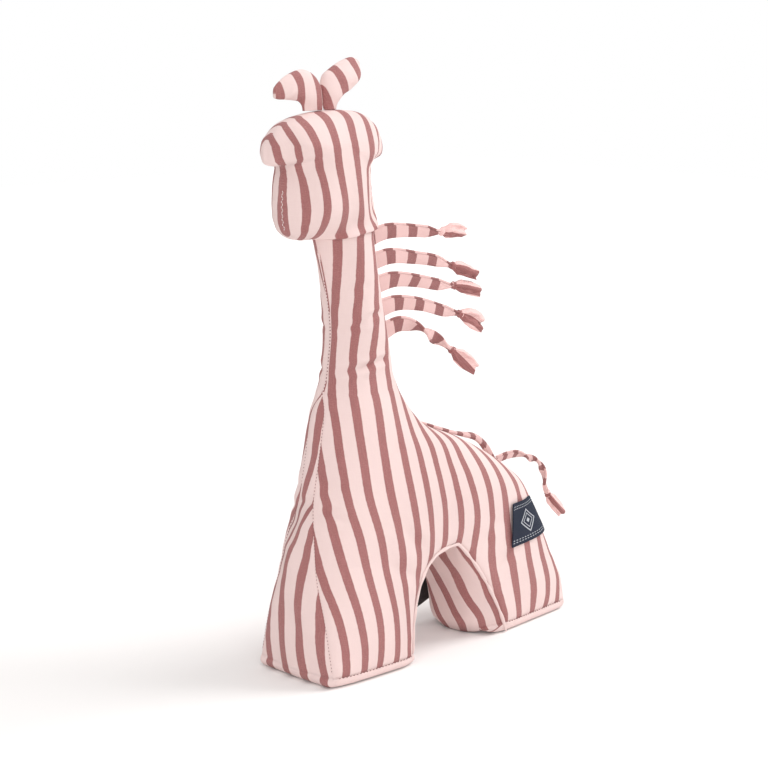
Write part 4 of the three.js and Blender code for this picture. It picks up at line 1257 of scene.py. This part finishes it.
def on_near_side(x, z, lift):
    """Places on the near side of the body, lifted off it along its slope."""
    half = body_half(x, z)
    slope = body_half(x + 0.5, z) - body_half(x - 0.5, z)
    length = np.hypot(slope, 1)
    return turned(x - slope / length * lift, -(half + lift / length), z)


TAG_LENGTH = 16
TAG_WIDTH = 15
TAG_HEIGHT = 20  # of its middle at the seam
TAG_TILT = math.radians(22)
TAG_SIDE = 26.4  # from the middle plane
LABEL_CORNERS = {
    "low_front": (53.4, 50.2),
    "low_rear": (96, 51),
    "high_front": (54.6, 75.2),
    "high_rear": (77.6, 75),
}


def woven_label(toy):
    """Damask: a nested diamond between dashed border lines, light thread on the navy ground."""
    material, work, face = shader("Woven label", Roughness=0.8, Specular_IOR_Level=0.25)
    cloth = cloth_places(work)
    part = work.node("ShaderNodeSeparateXYZ", {0: cloth}).outputs
    rib = work.math("SINE", work.math("MULTIPLY", part[0], 2 * math.pi / 0.34))
    thread = work.math("SINE", work.math("MULTIPLY", part[1], 2 * math.pi / 0.5))

    def near(value, at, half):
        return work.step(work.math("ABSOLUTE", work.math("SUBTRACT", value, at)), half, half + 0.1)

    u = work.math("ABSOLUTE", work.math("SUBTRACT", part[0], 50.0))
    v = work.math("ABSOLUTE", work.math("SUBTRACT", part[1], 50.0))
    diamond = work.math("ADD", u, v)
    motif = work.math("MAXIMUM", near(diamond, 6.8, 0.42), near(diamond, 4.4, 0.28))
    motif = work.math("MAXIMUM", motif, work.step(diamond, 1.5, 1.7))
    dash = work.math("FRACT", work.math("MULTIPLY", part[0], 0.5))
    dots = work.math("ABSOLUTE", work.math("SUBTRACT", dash, 0.5))
    for at in (9.6, 11.0):
        line = near(v, at - 0.6, 0.16)
        motif = work.math("MAXIMUM", motif, work.math("MULTIPLY", line, work.step(dots, 0.22, 0.3)))
    silver = (*linear((206, 210, 216)), 1)
    shade = work.math("MULTIPLY_ADD", rib, 0.15, 0.2)
    ground = work.blend(shade, (*toy.navy, 1), (*linear((48, 56, 76)), 1))
    cover = work.math("MULTIPLY", motif, work.math("MULTIPLY_ADD", thread, 0.14, 0.82))
    work.tree.links.new(work.blend(cover, ground, silver), face.inputs["Base Color"])
    bumpy(work, face, work.math("ADD", work.math("MULTIPLY", rib, 0.4), motif), 0.00018)
    return material


def satin():
    """Black satin: fine weft ribs and soft, long gloss."""
    material, work, face = shader("Black satin", Roughness=0.42, Sheen_Weight=0.25, Anisotropic=0.4)
    cloth = cloth_places(work)
    part = work.node("ShaderNodeSeparateXYZ", {0: cloth}).outputs
    rib = work.math("SINE", work.math("MULTIPLY", part[1], 2 * math.pi / 0.3))
    slub = work.noise(work.stretch(cloth, (0.6, 5.0, 0)), 1.0)
    tone = work.math("MULTIPLY_ADD", rib, 0.3, slub)
    colour = work.blend(tone, (0.006, 0.006, 0.007, 1), (0.022, 0.022, 0.025, 1))
    work.tree.links.new(colour, face.inputs["Base Color"])
    bumpy(work, face, tone, 0.0001)
    return material


class TOY_OT_labels(Step):
    """Sews in the woven label and the satin care tag"""

    bl_idname = "toy.labels"
    bl_label = "Label and care tag"

    def execute(self, context):
        toy = context.scene.toy
        corner = {name: np.array(place) for name, place in LABEL_CORNERS.items()}
        u = np.linspace(0, 1, 61)[None, :, None]
        v = np.linspace(0, 1, 49)[:, None, None]
        low = mix(corner["low_front"], corner["low_rear"], u)
        high = mix(corner["high_front"], corner["high_rear"], u)
        place = mix(low, high, v)
        lift = 1.35 + 0.5 * np.exp(-(u[..., 0] / 0.05))
        lift = lift + 0.18 * np.sin(u[..., 0] * 9) * np.sin(v[..., 0] * 5)
        points = on_near_side(place[..., 0], place[..., 1], lift)
        size = np.array([14.0, 12.5])
        cloth = np.concatenate([50 + (2 * u - 1) * size[0] + 0 * v, 50 + (2 * v - 1) * size[1] + 0 * u], -1)
        label = wall(skin("side_label_cloth", [(points, cloth)]), 0.7)
        finish_piece(label, woven_label(toy), "body", ("side_label",))
        self.care_tag()
        return {"FINISHED"}

    @staticmethod
    def care_tag():
        """The tag leans down out of the far seam of the hind leg, a little curled."""
        out = TAG_LENGTH * np.linspace(0, 1, 31)[None]
        up = TAG_WIDTH * np.linspace(-0.5, 0.5, 31)[:, None]
        c, s = math.cos(TAG_TILT), math.sin(TAG_TILT)
        root = turned(arch_edge(TAG_HEIGHT, True) - 2 * CLOTH, TAG_SIDE, TAG_HEIGHT)
        x = root[0] - c * out - s * up
        z = root[2] - s * out + c * up
        y = root[1] + 0.5 * (1 - np.cos(0.14 * out)) + 0.013 * out * np.sin(0.27 * up)
        place = np.stack([x, y, z], -1)
        tag = wall(skin("care_tag_cloth", [(place, np.stack([out + 0 * up, up + 0 * out], -1))]), 0.5)
        finish_piece(tag, satin(), "tag", ("care_tag",))


def ticks(name, path, out, pitch, length, thick, material):
    """Stitches along a path: short six-sided bars, each lying along it and sunk at its ends."""
    run = lengths(path)
    count = int(run[-1] / pitch)
    middle = (np.arange(count) + 0.5) * pitch
    share = np.linspace(-0.5, 0.5, 5)
    at = middle[:, None] + share * length
    place = np.stack([np.interp(at, run, column) for column in path.T], -1)
    up = np.stack([np.interp(at, run, column) for column in out.T], -1)
    up /= np.linalg.norm(up, axis=-1, keepdims=True)
    along = np.gradient(place, axis=1)
    along /= np.linalg.norm(along, axis=-1, keepdims=True)
    side = np.cross(along, up)
    bow = np.array([-0.55, 0.15, 0.35, 0.15, -0.55]) * thick
    fat = np.array([0.25, 1, 1.05, 1, 0.25]) * thick / 2
    turn = np.linspace(0, 2 * np.pi, 7)
    ring = (
        (place + up * bow[:, None])[:, :, None]
        + up[:, :, None] * (fat[:, None] * np.sin(turn))[..., None]
        + side[:, :, None] * (fat[:, None] * np.cos(turn))[..., None]
    )
    caps = [end.mean(2, keepdims=True) + 0 * end for end in (ring[:, :1], ring[:, -1:])]
    ring = np.concatenate([caps[0], ring, caps[1]], 1)
    patches = [(stitch, np.zeros(stitch.shape[:2] + (2,))) for stitch in ring]
    obj = turn_out(skin(name, patches))
    finish_piece(obj, material, "body")


class TOY_OT_stitches(Step):
    """Sews the visible stitches along the seams"""

    bl_idname = "toy.stitches"
    bl_label = "Stitches"

    def execute(self, context):
        rose = thread_material("Rose thread", linear((150, 92, 92)))
        pale = thread_material("Pale thread", linear((250, 232, 230)))
        for side, name in ((-1, "near"), (1, "far")):
            z = np.linspace(9, 214, 400)
            x = front_edge(z)
            along, up, across = seam_pull(x, z)
            half = np.maximum(front_half(z) - across * (front_half(z) > 0), 0)
            path = turned(x + along - 0.1, side * (half + 0.1), z + up)
            out = np.stack([-1 + 0 * z, side * 1.0 + 0 * z, 0 * z], -1)
            ticks(f"chest_stitches_{name}", path, out, 1.8, 0.9, 0.3, rose)
            for start, end, foot in (
                (front_edge(BOTTOM_SEAM) + 3, ARCH_FRONT - 1, "front"),
                (ARCH_REAR + 1, back_edge(BOTTOM_SEAM) - 3, "rear"),
            ):
                x = np.linspace(start, end, 120)
                z = np.full(120, float(BOTTOM_SEAM))
                along, up, across = seam_pull(x, z)
                path = turned(x + along, side * (body_half(x, z) - across + 0.15), z + up)
                out = np.stack([0 * z, side + 0 * z, -0.4 + 0 * z], -1)
                ticks(f"sole_stitches_{foot}_{name}", path, out, 2.3, 1.2, 0.36, rose)
        z = np.linspace(240, 262, 60)
        line = spline(HEAD_LINE)
        left = line[line[:, 0] < -85]
        left = left[np.argsort(left[:, 1])]
        x = np.interp(z, left[:, 1], left[:, 0]) - 0.15
        wave = 0.5 * np.sin(z * 2.1)
        path = np.stack([x, -0.5 + wave, z], -1)
        ticks("nose_stitches", path, np.stack([-1 + 0 * z, 0 * z - 0.3, 0 * z], -1), 1.6, 1.5, 0.4, pale)
        return {"FINISHED"}


class TOY_OT_rattle(Step):
    """Finishes the rattle capsule and its beads"""

    bl_idname = "toy.rattle"
    bl_label = "Rattle"

    def execute(self, context):
        for name, colour, rough, nodes in (
            ("Capsule plastic", (233, 230, 223), 0.4, ["capsule_top", "capsule_bottom"]),
            ("Bead plastic", (216, 182, 90), 0.28, [f"bead_{n}" for n in range(1, 6)]),
        ):
            material, work, face = shader(name, Roughness=rough, Coat_Weight=0.15)
            place = work.node("ShaderNodeTexCoord").outputs["Object"]
            grain = work.noise(place, 900.0, 3.0)
            tone = linear(colour)
            work.tree.links.new(
                work.blend(grain, (*[c * 0.92 for c in tone], 1), (*tone, 1)), face.inputs["Base Color"]
            )
            bumpy(work, face, grain, 0.00005)
            for node in nodes:
                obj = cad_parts[node]
                obj.data.materials.clear()
                obj.data.materials.append(material)
        return {"FINISHED"}


CAMERA_PLACE = (-764.1, -791.3, 359.0)
CAMERA_DOWN = math.radians(10.83)
CAMERA_TURN = math.radians(-43.25)
CAMERA_FOCUS = 2040 / 768 * 36


def seen(work):
    """1 where a surface is seen by the camera, or by way of a shiny or clear one."""
    path = work.node("ShaderNodeLightPath").outputs
    shiny = work.math("MAXIMUM", path["Is Glossy Ray"], path["Is Transmission Ray"])
    return work.math("MAXIMUM", path["Is Camera Ray"], shiny)


FILL_SHARE = 0.45  # power of the fill lamp as a share of the key lamp's
# The floor's glow rises with the distance from its middle, in metres
FLOOR_GLOW = {"From Min": 0.3, "From Max": 1.8, "To Min": 0.03, "To Max": 0.42}


class TOY_OT_stage(Step):
    """Sets the camera, the lamps, the sky and the floor"""

    bl_idname = "toy.stage"
    bl_label = "Stage"

    def execute(self, context):
        scene = context.scene
        camera = bpy.data.objects.new("Camera", bpy.data.cameras.new("Camera"))
        camera.data.sensor_width = 36
        camera.data.lens = CAMERA_FOCUS
        camera.location = metres(CAMERA_PLACE)
        camera.rotation_euler = (math.pi / 2 - CAMERA_DOWN, 0, CAMERA_TURN)
        scene.collection.objects.link(camera)
        scene.camera = camera
        self.lamp(scene, "Key lamp", (0.9, -0.45, 1.15), 0.7, scene.toy.lamp)
        self.lamp(scene, "Fill lamp", (-0.9, -0.9, 0.7), 1.2, scene.toy.lamp * FILL_SHARE)
        self.sky(scene)
        self.floor()
        scene.view_settings.view_transform = "Standard"
        return {"FINISHED"}

    @staticmethod
    def lamp(scene, name, place, size, power):
        light = bpy.data.lights.new(name, "AREA")
        light.size = size
        light.energy = power
        obj = bpy.data.objects.new(name, light)
        obj.location = place
        aim = np.array([0, 0, 0.13]) - np.array(place)
        flat = math.hypot(aim[0], aim[1])
        obj.rotation_euler = (math.atan2(flat, -aim[2]), 0, math.atan2(aim[1], aim[0]) - math.pi / 2)
        scene.collection.objects.link(obj)

    @staticmethod
    def sky(scene):
        """Even light from all round; where the camera looks past the toy it is white."""
        world = bpy.data.worlds.new("Studio")
        scene.world = world
        world.use_nodes = True
        work = Tree(world.node_tree)
        world.node_tree.nodes.clear()
        dim = work.node("ShaderNodeBackground", {"Color": (1, 0.99, 0.985, 1), "Strength": 0.8}).outputs[0]
        white = work.node("ShaderNodeBackground", {"Color": (1, 1, 1, 1), "Strength": 1.0}).outputs[0]
        both = work.node("ShaderNodeMixShader", {0: seen(work), 1: dim, 2: white}).outputs[0]
        work.node("ShaderNodeOutputWorld", {"Surface": both})

    @staticmethod
    def floor():
        """A pale sheet that fades to white for the camera, and keeps the toy's shadow."""
        grid = np.linspace(-2500, 2500, 11)
        x, y = np.meshgrid(grid, grid)
        points = np.stack([x, y, 0 * x], -1) - CENTRING
        obj = skin("floor", [(points, np.stack([x, y], -1))], False)
        material = bpy.data.materials.new("Pale floor")
        material.use_nodes = True
        work = Tree(material.node_tree)
        material.node_tree.nodes.clear()
        paper = work.node("ShaderNodeBsdfDiffuse", {"Color": (0.9, 0.885, 0.875, 1)}).outputs[0]
        place = work.node("ShaderNodeTexCoord").outputs["Object"]
        far = work.node("ShaderNodeVectorMath", {0: place}, operation="LENGTH").outputs["Value"]
        reach = work.node("ShaderNodeMapRange", {"Value": far, **FLOOR_GLOW}).outputs[0]
        glow = work.node("ShaderNodeEmission", {"Color": (1, 1, 1, 1), "Strength": reach}).outputs[0]
        lit = work.node("ShaderNodeAddShader", {0: paper, 1: glow}).outputs[0]
        both = work.node("ShaderNodeMixShader", {0: seen(work), 1: paper, 2: lit}).outputs[0]
        work.node("ShaderNodeOutputMaterial", {"Surface": both})
        obj.data.materials.append(material)


class TOY_PT_panel(bpy.types.Panel):
    """The toy's sizes, colours and steps"""

    bl_idname = "TOY_PT_panel"
    bl_label = "Giraffe rattle"
    bl_space_type = "VIEW_3D"
    bl_region_type = "UI"
    bl_category = "Giraffe"

    def draw(self, context):
        for name in ToySettings.__annotations__:
            self.layout.prop(context.scene.toy, name)
        for step in STEPS:
            self.layout.operator(step.bl_idname)


STEPS = (
    TOY_OT_stage,
    TOY_OT_side_panels,
    TOY_OT_under_strip,
    TOY_OT_head,
    TOY_OT_horns,
    TOY_OT_mane,
    TOY_OT_labels,
    TOY_OT_stitches,
    TOY_OT_rattle,
)
CLASSES = (ToySettings, *STEPS, TOY_PT_panel)


def register():
    for cls in CLASSES:
        bpy.utils.register_class(cls)
    bpy.types.Scene.toy = PointerProperty(type=ToySettings)


def unregister():
    del bpy.types.Scene.toy
    for cls in reversed(CLASSES):
        bpy.utils.unregister_class(cls)


def main():
    register()
    for step in STEPS:
        getattr(bpy.ops.toy, step.bl_idname.split(".")[1])()


if __name__ == "__main__":
    main()
